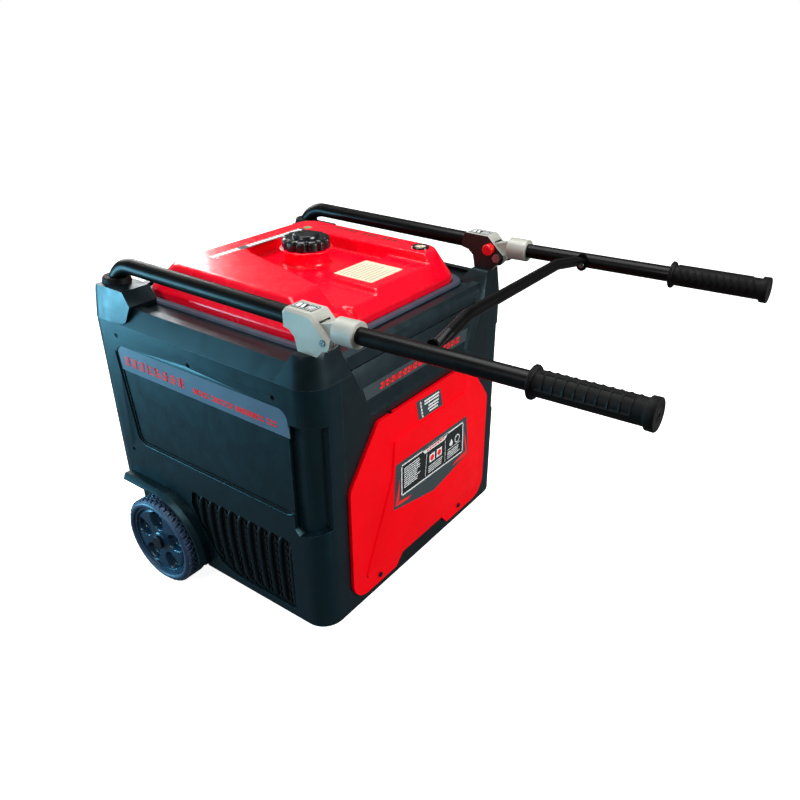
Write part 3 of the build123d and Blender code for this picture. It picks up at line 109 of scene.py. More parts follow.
def studio():
    """Five soft lamps, and a backdrop and floor that look white but give little light."""
    world = bpy.data.worlds.new("studio")
    scene.world = world
    world.use_nodes = True
    tree = world.node_tree
    background = tree.nodes["Background"]
    background.inputs["Color"].default_value = (1, 1, 1, 1)
    seen_as(tree, background.inputs["Strength"], 0.14, 1.0)
    for lamp in LAMPS:
        area_light(*lamp)
    mesh = bpy.data.meshes.new("floor")
    signs = ((-1, -1), (1, -1), (1, 1), (-1, 1))
    mesh.from_pydata([(x * FLOOR_REACH, y * FLOOR_REACH, 0) for x, y in signs], [], [(0, 1, 2, 3)])
    floor = bpy.data.objects.new("floor", mesh)
    scene.collection.objects.link(floor)
    mat = bpy.data.materials.new("floor_paper")
    mat.use_nodes = True
    shader = mat.node_tree.nodes["Principled BSDF"]
    shader.inputs["Roughness"].default_value = 0.9
    shader.inputs["Specular IOR Level"].default_value = 0.1
    shader.inputs["Emission Color"].default_value = (1, 1, 1, 1)
    seen_as(mat.node_tree, shader.inputs["Base Color"], 0.1, 0.9)
    seen_as(mat.node_tree, shader.inputs["Emission Strength"], 0.02, 0.92)
    mesh.materials.append(mat)
    scene.view_settings.view_transform = "Standard"
    scene.view_settings.look = "None"
    scene.view_settings.exposure = 0
    scene.view_settings.gamma = 1


camera()
studio()

# ---------------- materials


def srgb(*rgb):
    """A colour given in 0..255 display values, as linear light."""
    return tuple((c / 255 / 12.92) if c <= 10 else ((c / 255 + 0.055) / 1.055) ** 2.4 for c in rgb)


WEAR_AND_HIGHLIGHT_RADIUS = 0.0012  # metres of bevel in which edges carry wear and a painted highlight
HOLLOW_REACH = 0.006  # metres from a corner within which the colour darkens
PEEL_DEPTH = 0.00006  # metres of orange peel in sprayed paint


class Finish:
    """A Principled material built from one object-space noise field per property."""

    def __init__(self, name):
        self.material = bpy.data.materials.new(name)
        self.material.use_nodes = True
        self.tree = self.material.node_tree
        self.shader = self.tree.nodes["Principled BSDF"]
        self.place = self.node("ShaderNodeTexCoord").outputs["Object"]

    def node(self, kind, **inputs):
        made = self.tree.nodes.new(kind)
        for key, value in inputs.items():
            made.inputs[key.replace("_", " ")].default_value = value
        return made

    def link(self, output, target):
        self.tree.links.new(output, target)

    def set(self, **inputs):
        for key, value in inputs.items():
            self.shader.inputs[key.replace("_", " ")].default_value = value

    def noise(self, scale, detail=2.0, place=None):
        made = self.node("ShaderNodeTexNoise", Scale=scale, Detail=detail, Roughness=0.5)
        self.link(place or self.place, made.inputs["Vector"])
        return made.outputs["Fac"]

    def stretched(self, scale):
        made = self.node("ShaderNodeMapping", Scale=scale)
        self.link(self.place, made.inputs["Vector"])
        return made.outputs["Vector"]

    def ranged(self, value, low, high, out_low, out_high):
        made = self.node("ShaderNodeMapRange", From_Min=low, From_Max=high, To_Min=out_low, To_Max=out_high)
        self.link(value, made.inputs["Value"])
        return made.outputs["Result"]

    def mix(self, factor, first, second):
        made = self.node("ShaderNodeMix")
        made.data_type = "RGBA"
        self.link(factor, made.inputs["Factor"])
        for socket, colour in (("A", first), ("B", second)):
            target = [i for i in made.inputs if i.name == socket and i.type == "RGBA"][0]
            if isinstance(colour, tuple):
                target.default_value = (*colour[:3], 1)
            else:
                self.link(colour, target)
        return [o for o in made.outputs if o.type == "RGBA"][0]

    def colour(self, output):
        self.link(output, self.shader.inputs["Base Color"])

    def roughness(self, output):
        self.link(output, self.shader.inputs["Roughness"])

    def bump(self, heights):
        """heights is a list of (value, distance in metres); they are chained."""
        normal = None
        for value, distance in heights:
            made = self.node("ShaderNodeBump", Strength=1.0, Distance=distance)
            self.link(value, made.inputs["Height"])
            if normal is not None:
                self.link(normal, made.inputs["Normal"])
            normal = made.outputs["Normal"]
        self.link(normal, self.shader.inputs["Normal"])

    def maths(self, operation, first, second):
        made = self.node("ShaderNodeMath")
        made.operation = operation
        for target, value in zip(made.inputs, (first, second)):
            if isinstance(value, (int, float)):
                target.default_value = value
            else:
                self.link(value, target)
        return made.outputs[0]

    def varied(self, base, vary, scale, detail):
        """The base colour, drifting a share of vary darker and lighter in soft patches."""
        dark = tuple(c * (1 - vary) for c in base)
        light = tuple(min(1, c * (1 + vary)) for c in base)
        return self.mix(self.ranged(self.noise(scale, detail), 0.35, 0.65, 0, 1), dark, light)

    def edges(self):
        """A mask that rises on edges, broken up by noise; it marks wear and a painted edge highlight."""
        soft = self.node("ShaderNodeBevel", Radius=WEAR_AND_HIGHLIGHT_RADIUS)
        soft.samples = 4
        dot = self.node("ShaderNodeVectorMath")
        dot.operation = "DOT_PRODUCT"
        self.link(soft.outputs["Normal"], dot.inputs[0])
        self.link(self.node("ShaderNodeNewGeometry").outputs["Normal"], dot.inputs[1])
        bent = self.ranged(dot.outputs["Value"], 0.97, 0.72, 0, 1)
        return self.maths("MULTIPLY", bent, self.ranged(self.noise(90, 4), 0.38, 0.62, 0.1, 0.8))

    def hollows(self):
        """A mask that rises in corners and hollows, from ambient occlusion."""
        open_sky = self.node("ShaderNodeAmbientOcclusion", Distance=HOLLOW_REACH)
        open_sky.samples = 4
        open_sky.only_local = True
        return self.ranged(open_sky.outputs["AO"], 0.75, 0.3, 0, 1)

    def facing(self, sign):
        """A mask of the faces that look along x, to the side that sign gives."""
        split = self.node("ShaderNodeSeparateXYZ")
        self.link(self.node("ShaderNodeNewGeometry").outputs["Normal"], split.inputs[0])
        return self.ranged(self.maths("MULTIPLY", split.outputs["X"], sign), 0.6, 0.75, 0, 1)


def plastic(name, base, rough=0.45, spread=0.06, grain=2200, depth=0.00004, wear_and_highlight=None, vary=0.18,
            specular=0.5, tint=None, coat=0.0):
    """Moulded plastic or rubber: soft colour variation, spark-eroded grain, lighter edges that are partly
    wear and partly a painted highlight.
    """
    f = Finish(name)
    body = f.varied(base, vary, 9, 3)
    # the edge colour is partly wear and partly a painted highlight
    if wear_and_highlight is not None:
        body = f.mix(f.edges(), body, wear_and_highlight)
    f.colour(body)
    f.roughness(f.ranged(f.noise(38, 4), 0.3, 0.7, rough - spread, rough + spread))
    f.bump([(f.noise(grain, 2), depth), (f.noise(60, 3), depth * 4)])
    f.set(Specular_IOR_Level=specular, Coat_Weight=coat, Coat_Roughness=0.1)
    if tint is not None:
        f.set(Specular_Tint=(*tint, 1))
    return f.material


def paint(name, base, rough=0.28, coat=0.6, vary=0.1, wear_and_highlight=None, specular=0.5):
    """Sprayed paint on sheet or tube: orange peel under a clear coat."""
    f = Finish(name)
    body = f.varied(base, vary, 6, 2)
    # edges lighten, partly as wear and partly as a painted highlight
    if wear_and_highlight is not None:
        body = f.mix(f.edges(), body, wear_and_highlight)
    f.colour(body)
    f.roughness(f.ranged(f.noise(30, 5), 0.3, 0.7, rough - 0.05, rough + 0.05))
    f.bump([(f.noise(420, 2), PEEL_DEPTH)])
    f.set(Coat_Weight=coat, Coat_Roughness=0.06, Specular_IOR_Level=specular)
    return f.material


def metal(name, base, rough=0.4, spread=0.08, grain=900, depth=0.00006, metallic=1.0, vary=0.08,
          hollow_colour=None, stretch=None, dark_side=0):
    """Bare or cast metal with a grain that can run one way; its last argument gives the side in x whose faces
    are coloured near-black.
    """
    f = Finish(name)
    body = f.varied(base, vary, 24, 4)
    if hollow_colour is not None:
        body = f.mix(f.hollows(), body, hollow_colour)
    if dark_side:
        body = f.mix(f.facing(dark_side), body, srgb(12, 11, 10))
    f.colour(body)
    place = f.stretched(stretch) if stretch else None
    f.roughness(f.ranged(f.noise(120, 4, place), 0.3, 0.7, rough - spread, rough + spread))
    f.bump([(f.noise(grain, 3, place), depth)])
    f.set(Metallic=metallic)
    return f.material


# the first two are reflection tints that paint a cyan sheen on the dark plastics, tyres and rims
COOL_SHEEN_TINT = (0.6, 0.88, 1.0)
TEAL_SHEEN_TINT = (0.42, 0.86, 1.0)
RED = (1.0, 0.08, 0.16)
SHELL = dict(rough=0.38, specular=0.4, depth=0.00003)
ALLOY = dict(rough=0.5, metallic=0.2, hollow_colour=srgb(104, 100, 92), grain=700, depth=0.00012)
PRINT = dict(grain=2600, depth=0.00001, vary=0.1)
LOOKS = {
    # near-black plastic of the louvre screen, also used for the strips that are painted shadow in gaps
    "screen_plastic": (plastic, (4, 6, 8), dict(rough=0.5, specular=0.3)),
    "black_plastic": (plastic, (9, 20, 24), dict(SHELL, wear_and_highlight=srgb(70, 80, 86), tint=COOL_SHEEN_TINT)),
    # the band's blue cast is painted cyan light
    "band_plastic": (plastic, (78, 100, 120), dict(
        rough=0.4, grain=1500, vary=0.08, wear_and_highlight=srgb(150, 176, 190))),
    # a copy of the black plastic for the side shells, whose teal base and teal reflection tint are painted
    # cyan light
    "side_plastic": (plastic, (6, 22, 28), dict(SHELL, wear_and_highlight=srgb(76, 92, 104), tint=TEAL_SHEEN_TINT)),
    "red_plastic": (plastic, (246, 0, 16), dict(
        rough=0.42, grain=1800, depth=0.00002, vary=0.04, wear_and_highlight=srgb(255, 20, 50), specular=0.3, tint=RED)),
    "red_paint": (paint, (240, 0, 34), dict(rough=0.26, coat=0.2, specular=0.3, vary=0.05)),
    # the black paint's warm edge colour is partly wear and partly a painted warm highlight on the rails
    "black_paint": (paint, (3, 3, 3), dict(
        rough=0.38, coat=0.04, vary=0.3, wear_and_highlight=srgb(36, 32, 28), specular=0.12)),
    "cast_alloy": (metal, (168, 169, 160), ALLOY),
    "steel": (metal, (150, 152, 156), dict(rough=0.32, stretch=(1, 1, 12))),
    "black_steel": (metal, (16, 17, 19), dict(stretch=(1, 1, 12))),
    "knob_red": (plastic, (214, 6, 16), dict(rough=0.3, coat=0.4, wear_and_highlight=srgb(240, 80, 70))),
    "black_rubber": (plastic, (4, 4, 4), dict(
        rough=0.6, grain=1600, depth=0.00008, wear_and_highlight=srgb(24, 24, 24), specular=0.16)),
    "grey_rubber": (plastic, (46, 56, 72), dict(
        rough=0.5, grain=1400, depth=0.00008, wear_and_highlight=srgb(110, 120, 134))),
    "cap_plastic": (plastic, (7, 8, 12), dict(rough=0.28, grain=1800, wear_and_highlight=srgb(60, 60, 70))),
    "black_gloss": (plastic, (10, 12, 13), dict(rough=0.12, spread=0.03, grain=800, depth=0.00001, coat=0.5)),
    # the tyre's blue-grey and the rim's teal base colours are painted cyan light, and their pale blue edge
    # colours are painted highlights
    "tyre_rubber": (plastic, (50, 68, 94), dict(
        rough=0.42, grain=900, depth=0.0001, wear_and_highlight=srgb(140, 168, 205), specular=0.6, tint=COOL_SHEEN_TINT)),
    "rim_plastic": (plastic, (10, 44, 66), dict(
        rough=0.26, wear_and_highlight=srgb(110, 150, 180), specular=0.7, tint=COOL_SHEEN_TINT)),
    "panel_plastic": (plastic, (36, 38, 42), dict(rough=0.4, wear_and_highlight=srgb(88, 90, 94))),
    "cover_plastic": (plastic, (58, 60, 64), dict(rough=0.35, wear_and_highlight=srgb(110, 112, 116))),
    "button_green": (plastic, (28, 140, 62), dict(rough=0.3, coat=0.3, wear_and_highlight=srgb(90, 180, 110))),
    "brass": (metal, (196, 160, 84), dict(rough=0.3)),
    "engine_alloy": (metal, (168, 168, 166), dict(rough=0.5, grain=500, depth=0.0002, hollow_colour=srgb(70, 68, 64))),
    "forged_steel": (metal, (120, 120, 122), dict(stretch=(14, 1, 1))),
    "fan_plastic": (plastic, (30, 32, 34), dict(wear_and_highlight=srgb(80, 80, 82))),
    "iron": (metal, (104, 98, 92), dict(rough=0.55, grain=600, hollow_colour=srgb(60, 50, 44))),
    "muffler_steel": (metal, (132, 124, 116), dict(rough=0.45, hollow_colour=srgb(84, 70, 56), vary=0.2)),
    # printed films
    "print_red": (plastic, (240, 26, 30), dict(PRINT, rough=0.4, grain=3000, vary=0.08)),
    "print_dark": (plastic, (52, 64, 68), dict(PRINT, rough=0.38)),
    "print_black": (plastic, (20, 26, 28), dict(PRINT, rough=0.32)),
    "print_white": (plastic, (226, 230, 230), dict(PRINT, rough=0.42, vary=0.04)),
    "print_beige": (plastic, (214, 204, 176), dict(rough=0.5, grain=1200, depth=0.00002, vary=0.05)),
    "print_faded": (plastic, (118, 34, 34), dict(PRINT, rough=0.4, vary=0.15)),
    "print_green": (plastic, (92, 150, 96), dict(PRINT, rough=0.4)),
    # cast alloy whose faces towards the tank are coloured near-black
    "bracket_left": (metal, (168, 169, 160), dict(ALLOY, dark_side=1)),
    "bracket_right": (metal, (168, 169, 160), dict(ALLOY, dark_side=-1)),
}
M = {name: kind(name, srgb(*rgb), **look) for name, (kind, rgb, look) in LOOKS.items()}

# ---------------- carrying CAD shapes over


def finish_piece(piece, body, slot, material=None, replaces=()):
    """Gives a new piece its material, taken from its slot unless one is given, and its body, and hides the
    CAD nodes it stands for.
    """
    piece.data.materials.clear()
    piece.data.materials.append(material or M[slot])
    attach(piece, body)
    if replaces:
        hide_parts(*replaces)


def smooth_by_angle(mesh, degrees):
    for polygon in mesh.polygons:
        polygon.use_smooth = True
    mesh.set_sharp_from_angle(angle=math.radians(degrees))


def clean_mesh(node):
    """A copy of a CAD node's mesh with its doubled points and flat facets joined."""
    bm = bmesh.new()
    bm.from_mesh(NODES[node].data)
    bmesh.ops.remove_doubles(bm, verts=bm.verts, dist=2e-6)
    bmesh.ops.dissolve_limit(bm, angle_limit=math.radians(0.4), verts=bm.verts, edges=bm.edges)
    bmesh.ops.dissolve_degenerate(bm, dist=1e-6, edges=bm.edges)
    mesh = bpy.data.meshes.new(node + "_shape")
    bm.to_mesh(mesh)
    bm.free()
    return mesh


SHARP_ANGLE = 32  # degrees from which an edge is softened


def rounded(node, width, material):
    """The node's shape with softened moulded edges, standing for the node."""
    mesh = clean_mesh(node)
    smooth_by_angle(mesh, SHARP_ANGLE)
    piece = bpy.data.objects.new(node + "_shell", mesh)
    scene.collection.objects.link(piece)
    bevel = piece.modifiers.new("soft_edges", "BEVEL")
    bevel.width = width * MM
    bevel.segments = 2
    bevel.limit_method = "ANGLE"
    bevel.angle_limit = math.radians(SHARP_ANGLE)
    bevel.use_clamp_overlap = True
    bevel.harden_normals = True
    finish_piece(piece, BODY_OF[node], SLOT_OF[node], material, [node])


# ---------------- mesh builders


def new_piece(name, bm, angle=35):
    """An object from a bmesh, in millimetres, shaded smooth up to an angle."""
    bmesh.ops.scale(bm, vec=(MM, MM, MM), verts=bm.verts)
    bmesh.ops.recalc_face_normals(bm, faces=bm.faces)
    mesh = bpy.data.meshes.new(name)
    bm.to_mesh(mesh)
    bm.free()
    smooth_by_angle(mesh, angle)
    piece = bpy.data.objects.new(name, mesh)
    scene.collection.objects.link(piece)
    return piece


def spot(radius, i, count):
    """Point i of count on a circle round the origin."""
    a = 2 * math.pi * i / count
    return radius * math.cos(a), radius * math.sin(a)


def add_loft(bm, rings):
    """Joins rings of points with quads and caps both ends."""
    loops = [[bm.verts.new(p) for p in ring] for ring in rings]
    count = len(loops[0])
    for lower, upper in zip(loops, loops[1:]):
        for i in range(count):
            j = (i + 1) % count
            bm.faces.new((lower[i], lower[j], upper[j], upper[i]))
    bm.faces.new(loops[0][::-1])
    bm.faces.new(loops[-1])


def add_skin(bm, pairs, count):
    """Joins pairs of rings of count points; a ring of one point closes its pair with a fan."""
    for first, second in pairs:
        for i in range(count):
            j = (i + 1) % count
            if len(first) == 1:
                bm.faces.new((first[0], second[i], second[j]))
            elif len(second) == 1:
                bm.faces.new((first[i], first[j], second[0]))
            else:
                bm.faces.new((first[i], first[j], second[j], second[i]))


def add_lathe(bm, profile, to_world, segments):
    """Turns a closed profile of (radius, height) round an axis; to_world places (x, y, height)."""
    rings = [[bm.verts.new(to_world(*spot(radius, i, segments), height)) for i in range(segments)]
             for radius, height in profile]
    add_skin(bm, zip(rings, rings[1:] + rings[:1]), segments)


def add_prism(bm, points, low, high, to_world):
    """A straight prism on a 2D outline; to_world places (u, v, height)."""
    add_loft(bm, [[to_world(u, v, height) for u, v in points] for height in (low, high)])


def rounded_rectangle(cx, cy, width, height, radius, steps=8):
    """Points of a rounded rectangle, anticlockwise."""
    points = []
    for quarter, (sx, sy) in enumerate(((1, 1), (-1, 1), (-1, -1), (1, -1))):
        ox, oy = cx + sx * (width / 2 - radius), cy + sy * (height / 2 - radius)
        for step in range(steps + 1):
            a = math.pi / 2 * (quarter + step / steps)
            points.append((ox + radius * math.cos(a), oy + radius * math.sin(a)))
    return points


def joined(target, tool, operation):
    """Applies an exact boolean of tool to target and removes the tool."""
    modifier = target.modifiers.new("cut", "BOOLEAN")
    modifier.operation = operation
    modifier.object = tool
    modifier.solver = "EXACT"
    apply_modifiers(target)
    bpy.data.objects.remove(tool)


def apply_modifiers(piece):
    """Bakes the modifier stack into the piece's mesh."""
    graph = bpy.context.evaluated_depsgraph_get()
    graph.update()
    mesh = bpy.data.meshes.new_from_object(piece.evaluated_get(graph))
    piece.modifiers.clear()
    piece.data = mesh


def upright(x, y, z):
    return (x, y, z)


def box_size(node):
    low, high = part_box(node)
    return Vector(low) / MM, Vector(high) / MM


# ---------------- fuel tank


TANK_PAD = 115  # heights above the tank's lowest point
TANK_TOP = 132
TANK_FRONT = 29  # from the tank's front edge to the line that its outlines are drawn from
TANK_GRID = 0.0024  # metres between the points of its relaxed mesh


def fuel_tank():
    """The pressed tank, blocked out with booleans.

    It is remeshed fine and relaxed, so that every crease has a sheet-metal radius.
    """
    low, high = box_size("fuel_tank")
    cx, cy = (low.x + high.x) / 2, (low.y + high.y) / 2
    width, length = high.x - low.x, high.y - low.y
    deck, waist, floor = low.z + 70, low.z + 86, low.z + 105
    pad, top = low.z + TANK_PAD, low.z + TANK_TOP
    bm = bmesh.new()
    sections = [
        (cx, cy, width - 10, length - 10, 36, low.z), (cx, cy, width - 10, length - 10, 36, deck - 4),
        (cx, cy, width, length, 40, deck - 4), (cx, cy, width, length, 40, waist),
        (cx + 7.5, low.y + 200.1, 363, 332, 34, top),
    ]
    add_loft(bm, [[(x, y, s[5]) for x, y in rounded_rectangle(*s[:5])] for s in sections])
    tank = new_piece("tank_shell", bm)
    front = low.y - TANK_FRONT
    recess = [(-43, 325), (-28, 348), (95, 352), (128, 312), (135, -30), (-140, -30)]
    raised = [(-34, -40), (156, -40), (156, 151), (-26, 151)]
    bm = bmesh.new()
    add_prism(bm, [(x, y + front) for x, y in recess], floor, top + 30, upright)
    hollow = new_piece("tank_hollow", bm)
    bm = bmesh.new()
    outer = [(x + (-4 if x < 60 else 4), y + front + (4 if y > 0 else 0)) for x, y in raised]
    inner = [(x + (5 if x < 60 else -5), y + front + (-5 if y > 0 else 0)) for x, y in raised]
    add_loft(bm, [[(x, y, floor - 5) for x, y in outer], [(x, y, pad) for x, y in inner]])
    joined(hollow, new_piece("tank_pad", bm), "DIFFERENCE")
    joined(tank, hollow, "DIFFERENCE")
    bm = bmesh.new()
    slope = [(104, top + 20), (104, top), (62, floor), (-20, deck - 20), (-60, deck - 20), (-60, top + 20)]
    add_prism(bm, [(y + front, z) for y, z in slope], -220, -98, lambda u, v, h: (h, u, v))
    joined(tank, new_piece("tank_nose", bm), "DIFFERENCE")
    remesh = tank.modifiers.new("even_grid", "REMESH")
    remesh.mode = "VOXEL"
    remesh.voxel_size = TANK_GRID
    remesh.use_smooth_shade = True
    relax = tank.modifiers.new("relaxed", "SMOOTH")
    relax.factor = 0.5
    relax.iterations = 14
    apply_modifiers(tank)
    smooth_by_angle(tank.data, 80)
    finish_piece(tank, "generator", "red_paint", replaces=["fuel_tank"])

    cap_low, cap_high = box_size("fuel_cap")
    nx, ny = (cap_low.x + cap_high.x) / 2, (cap_low.y + cap_high.y) / 2
    lip = cap_low.z - 0.5
    profile = [
        (47, floor - 0.6), (44, floor + 0.6), (42, floor + 3), (41.2, floor + 7), (41, lip - 9),
        (42, lip - 6.5), (46.5, lip - 4.5), (48.4, lip - 3), (48.8, lip - 1.6), (48.2, lip - 0.4),
        (46.8, lip), (36, lip), (35, lip + 1), (35, lip + 14), (34, lip + 15), (32, lip + 15), (31, lip + 14),
        (31, floor - 12), (29.5, floor - 12), (29.5, floor - 14), (47, floor - 14),
    ]
    bm = bmesh.new()
    add_lathe(bm, profile, lambda x, y, z: (nx + x, ny + y, z), 96)
    finish_piece(new_piece("tank_neck", bm, 50), "generator", "red_paint")


# ---------------- filler cap


CAP_LOBES = 12
CAP_RADIUS = 44


def fuel_cap():
    """Scalloped cap: a polar shell whose radius dips between the grips, with a raised disc on top."""
    low, high = box_size("fuel_cap")
    cx, cy = (low.x + high.x) / 2, (low.y + high.y) / 2
    segments = 240
    rows = [  # share of the radius, height
        (0.965, 0), (1.0, 1.2), (1.0, 13.5), (0.985, 15.6), (0.95, 17.4), (0.90, 18.6), (0.86, 19.0),
        (0.60, 19.0), (0.555, 18.6), (0.545, 19.4), (0.54, 22.2), (0.525, 23.4), (0.50, 24.0), (0.30, 23.6),
        (0, 23.4),
    ]
    bm = bmesh.new()
    rings = []
    for share, height in rows:
        ring = []
        for i in range(segments if share else 1):
            a = 2 * math.pi * i / segments
            wave = (0.5 - 0.5 * math.cos(a * CAP_LOBES)) ** 6
            dip = 4.2 * wave * min(1, max(0, (share - 0.62) / 0.3))
            radius = CAP_RADIUS * share - dip
            ring.append(bm.verts.new((cx + radius * math.cos(a), cy + radius * math.sin(a), low.z + height)))
        rings.append(ring)
    inner = [(36.6, 0), (36.6, 14.4), (6, 14.4), (5.2, 13), (0, 13)]
    inner_rings = []
    for r, h in inner:
        flat = [spot(r, i, segments) for i in range(segments if r else 1)]
        inner_rings.append([bm.verts.new((cx + x, cy + y, low.z + h)) for x, y in flat])
    chain = inner_rings[::-1] + rings
    add_skin(bm, zip(chain, chain[1:]), segments)
    finish_piece(new_piece("cap_shell", bm, 40), BODY_OF["fuel_cap"], "cap_plastic", replaces=["fuel_cap"])


# ---------------- wheels


RIM_DRAWN = 62  # radius at which the rim's profile is drawn; the wheel scales it to fit
RIM_KNOTS = [  # radius, height of the face above the rim's middle plane
    (0, 3.2), (9, 3.2), (13.4, 2.6), (15.4, 0.2), (19, 0.4), (44, 1.6), (51, 1.2), (54, 0.4), (55.5, -1.8),
    (57, -2.2), (58.2, 1.8), (60, 2.6), (62, 2.2),
]
POCKET_MIDDLE = 38.5  # radius of the rim's five pockets
POCKET_DEPTH = 13
HUB_RING = 9.6  # radius of the raised open ring on the hub
TREAD_BLOCKS = 44
SIDE_RIBS = 96


def pocket_depth(radius, angle):
    """Depth of the five soft pockets in the rim's face at a polar spot."""
    deepest = 0.0
    for k in range(5):
        middle = math.radians(72 * k + 90)
        turn = (angle - middle + math.pi) % (2 * math.pi) - math.pi
        along, across = radius * math.cos(turn) - POCKET_MIDDLE, radius * math.sin(turn)
        wide = 14.5 + 0.12 * along
        size = (abs(along / 16) ** 2.6 + abs(across / wide) ** 2.6) ** (1 / 2.6)
        share = min(1, max(0, (1.06 - size) / 0.30))
        deepest = max(deepest, share * share * (3 - 2 * share))
    return POCKET_DEPTH * deepest


def rim_face(radius):
    """Height of the rim's outer face, without pockets, above its middle plane."""
    for (r0, h0), (r1, h1) in zip(RIM_KNOTS, RIM_KNOTS[1:]):
        if radius <= r1:
            t = (radius - r0) / (r1 - r0)
            t = t * t * (3 - 2 * t)
            return h0 + (h1 - h0) * t
    return RIM_KNOTS[-1][1]


def ring_mark(radius, angle):
    """The raised open ring on the hub."""
    if abs(angle - math.pi * 1.15) < 0.5:
        return 0.0
    return 1.3 * max(0, 1 - abs(radius - HUB_RING) / 1.5) ** 0.5


def wheel(side, suffix):
    """A moulded rim with five pockets, and a tyre with tread blocks and ribbed shoulders."""
    node = "wheel_" + suffix
    low, high = box_size(node)
    cy, cz = (low.y + high.y) / 2, (low.z + high.z) / 2
    rim_radius = (high.y - low.y) / 2
    face = max(abs(low.x), abs(high.x)) - 3.4
    back = min(abs(low.x), abs(high.x))
    body = BODY_OF[node]
    grow = rim_radius / RIM_DRAWN
    turns = 180
    radii = [0, 3, 6, 7.6, 8.2, 9.6, 11, 11.6, 12.6, 13.4, 14.4, 15.4] + [16.5 + 1.25 * i for i in range(30)]
    radii += [53.2, 54, 54.8, 55.5, 56.2, 57, 57.6, 58.2, 59, 60, 61, 61.6, RIM_DRAWN]
    bm = bmesh.new()
    rings = []
    for r in radii:
        ring = []
        for i in range(turns if r else 1):
            a = 2 * math.pi * i / turns
            out = face + rim_face(r) - pocket_depth(r, a) + ring_mark(r, a)
            ring.append(bm.verts.new((side * out, cy + grow * r * math.cos(a), cz + grow * r * math.sin(a))))
        rings.append(ring)
    inner_face = [
        (rim_radius, back + 1), (rim_radius - 1, back), (rim_radius - 6, back), (rim_radius - 8, back + 8),
        (30, back + 10), (22, back + 9), (19, back + 1), (18, back), (9, back), (8.2, back + 1),
        (8.2, back + 12), (0, back + 12),
    ]
    for r, out in inner_face:
        flat = [spot(r, i, turns) for i in range(turns if r else 1)]
        rings.append([bm.verts.new((side * out, cy + y, cz + z)) for y, z in flat])
    add_skin(bm, zip(rings, rings[1:]), turns)
    finish_piece(new_piece("rim_" + suffix, bm, 50), body, "rim_plastic", replaces=[node])

    low, high = box_size("tyre_" + suffix)
    outer, inner = max(abs(low.x), abs(high.x)), min(abs(low.x), abs(high.x))
    middle, tyre_radius = (outer + inner) / 2, (high.z - low.z) / 2
    half = (outer - inner) / 2
    tread = tyre_radius - 3.2
    profile = [
        (rim_radius + 0.3, half - 6), (rim_radius + 1.2, half - 3.2), (rim_radius + 2, half - 1.6),
        (rim_radius + 4.5, half - 0.4), (rim_radius + 6.8, half - 0.2), (rim_radius + 8.6, half - 1),
        (rim_radius + 10.4, half - 2.6), (rim_radius + 11.8, half - 5.2), (tread, half - 9), (tread + 0.3, 0),
    ]
    full = profile + [(r, -x) for r, x in reversed(profile[:-1])]
    to_world = lambda u, v, h: (side * (middle + h), cy + u, cz + v)
    bm = bmesh.new()
    add_lathe(bm, full, to_world, 120)

    def block(angle, spread, axial, width, r0, r1, skew=0.0, shrink=0.78, lean=0.0):
        """A tapered tread block; spread is its arc in radians, width its axial size."""
        corners = [(-1, -1), (1, -1), (1, 1), (-1, 1)]
        loops = []
        for r, k, shift in ((r0, 1, 0), (r1 - 0.6, 0.92, lean * 0.8), (r1, shrink, lean)):
            loop = []
            for a, b in corners:
                t = angle + a * spread / 2 * k + b * skew
                h = axial + shift + b * width / 2 * k
                loop.append((r * math.cos(t), r * math.sin(t), h))
            loops.append([to_world(u, v, h) for u, v, h in loop])
        add_loft(bm, loops)

    step = 2 * math.pi / TREAD_BLOCKS
    for i in range(TREAD_BLOCKS):
        a = i * step
        block(a, step * 0.66, half - 9.0, 9.5, tread - 3, tyre_radius, 0.012, 0.8, -1.5)
        block(a + step * 0.5, step * 0.6, half - 18.2, 7.0, tread - 2, tyre_radius, -0.02)
        block(a, step * 0.55, 0, 6.0, tread - 2, tyre_radius, 0.02)
        block(a + step * 0.5, step * 0.6, -half + 18.2, 7.0, tread - 2, tyre_radius, 0.02)
        block(a, step * 0.66, -half + 9.0, 9.5, tread - 3, tyre_radius, -0.012, 0.8, 1.5)
    h0, h1 = half - 0.9, half - 4.2
    inner_r, outer_r = tyre_radius - 10, tyre_radius - 3.6
    spread = 0.021
    for i in range(SIDE_RIBS):
        a = 2 * math.pi * i / SIDE_RIBS
        for sign in (1, -1):
            ring = []
            for r, h in ((inner_r, h0 - 0.6), (outer_r, h1 - 1.2)):
                for t, lift in ((-spread, -1.0), (-spread * 0.5, 0.9), (spread * 0.5, 0.9), (spread, -1.0)):
                    ring.append(to_world(r * math.cos(a + t), r * math.sin(a + t), sign * (h + lift)))
            add_loft(bm, [ring[:4], ring[4:]])
    finish_piece(new_piece("tread_" + suffix, bm, 38), body, "tyre_rubber", replaces=["tyre_" + suffix])


# ---------------- louvres

HOUSING_FACE = 277.5  # from the middle plane
HOUSING_CORNER = 40  # radius
LOUVRE_OUTLINE = [(38, 77), (179, 77), (222, 88), (252, 126), (272, 160), (288, 195), (282, 225), (38, 225)]
BLADES = 11
BLADE_PITCH = 24.35
BLADE_STEPS = 24  # along a blade, from its top at 225 mm down to 75 mm
CELLS_IN_PITCH = 6  # of the backing, from one blade to the next


def inside(point, outline):
    """Whether a 2D point is inside a polygon."""
    x, y = point
    found = False
    for (x0, y0), (x1, y1) in zip(outline, outline[1:] + outline[:1]):
        if (y0 > y) != (y1 > y) and x < (x1 - x0) * (y - y0) / (y1 - y0) + x0:
            found = not found
    return found


def blade_shift(z, share):
    """How far a blade leans to the rear at a height; share is 0 at the rear blade and 1 at the front one."""
    knots = [(60, -17 + 20 * share), (80, -13 + 17 * share), (120, 2 + 3 * share), (160, 8 - 2 * share),
             (198, 8 - 3 * share), (213, 5 - 2 * share), (226, 0)]
    for (z0, s0), (z1, s1) in zip(knots, knots[1:]):
        if z <= z1:
            t = max(0, (z - z0) / (z1 - z0))
            return s0 + (s1 - s0) * t
    return 0.0


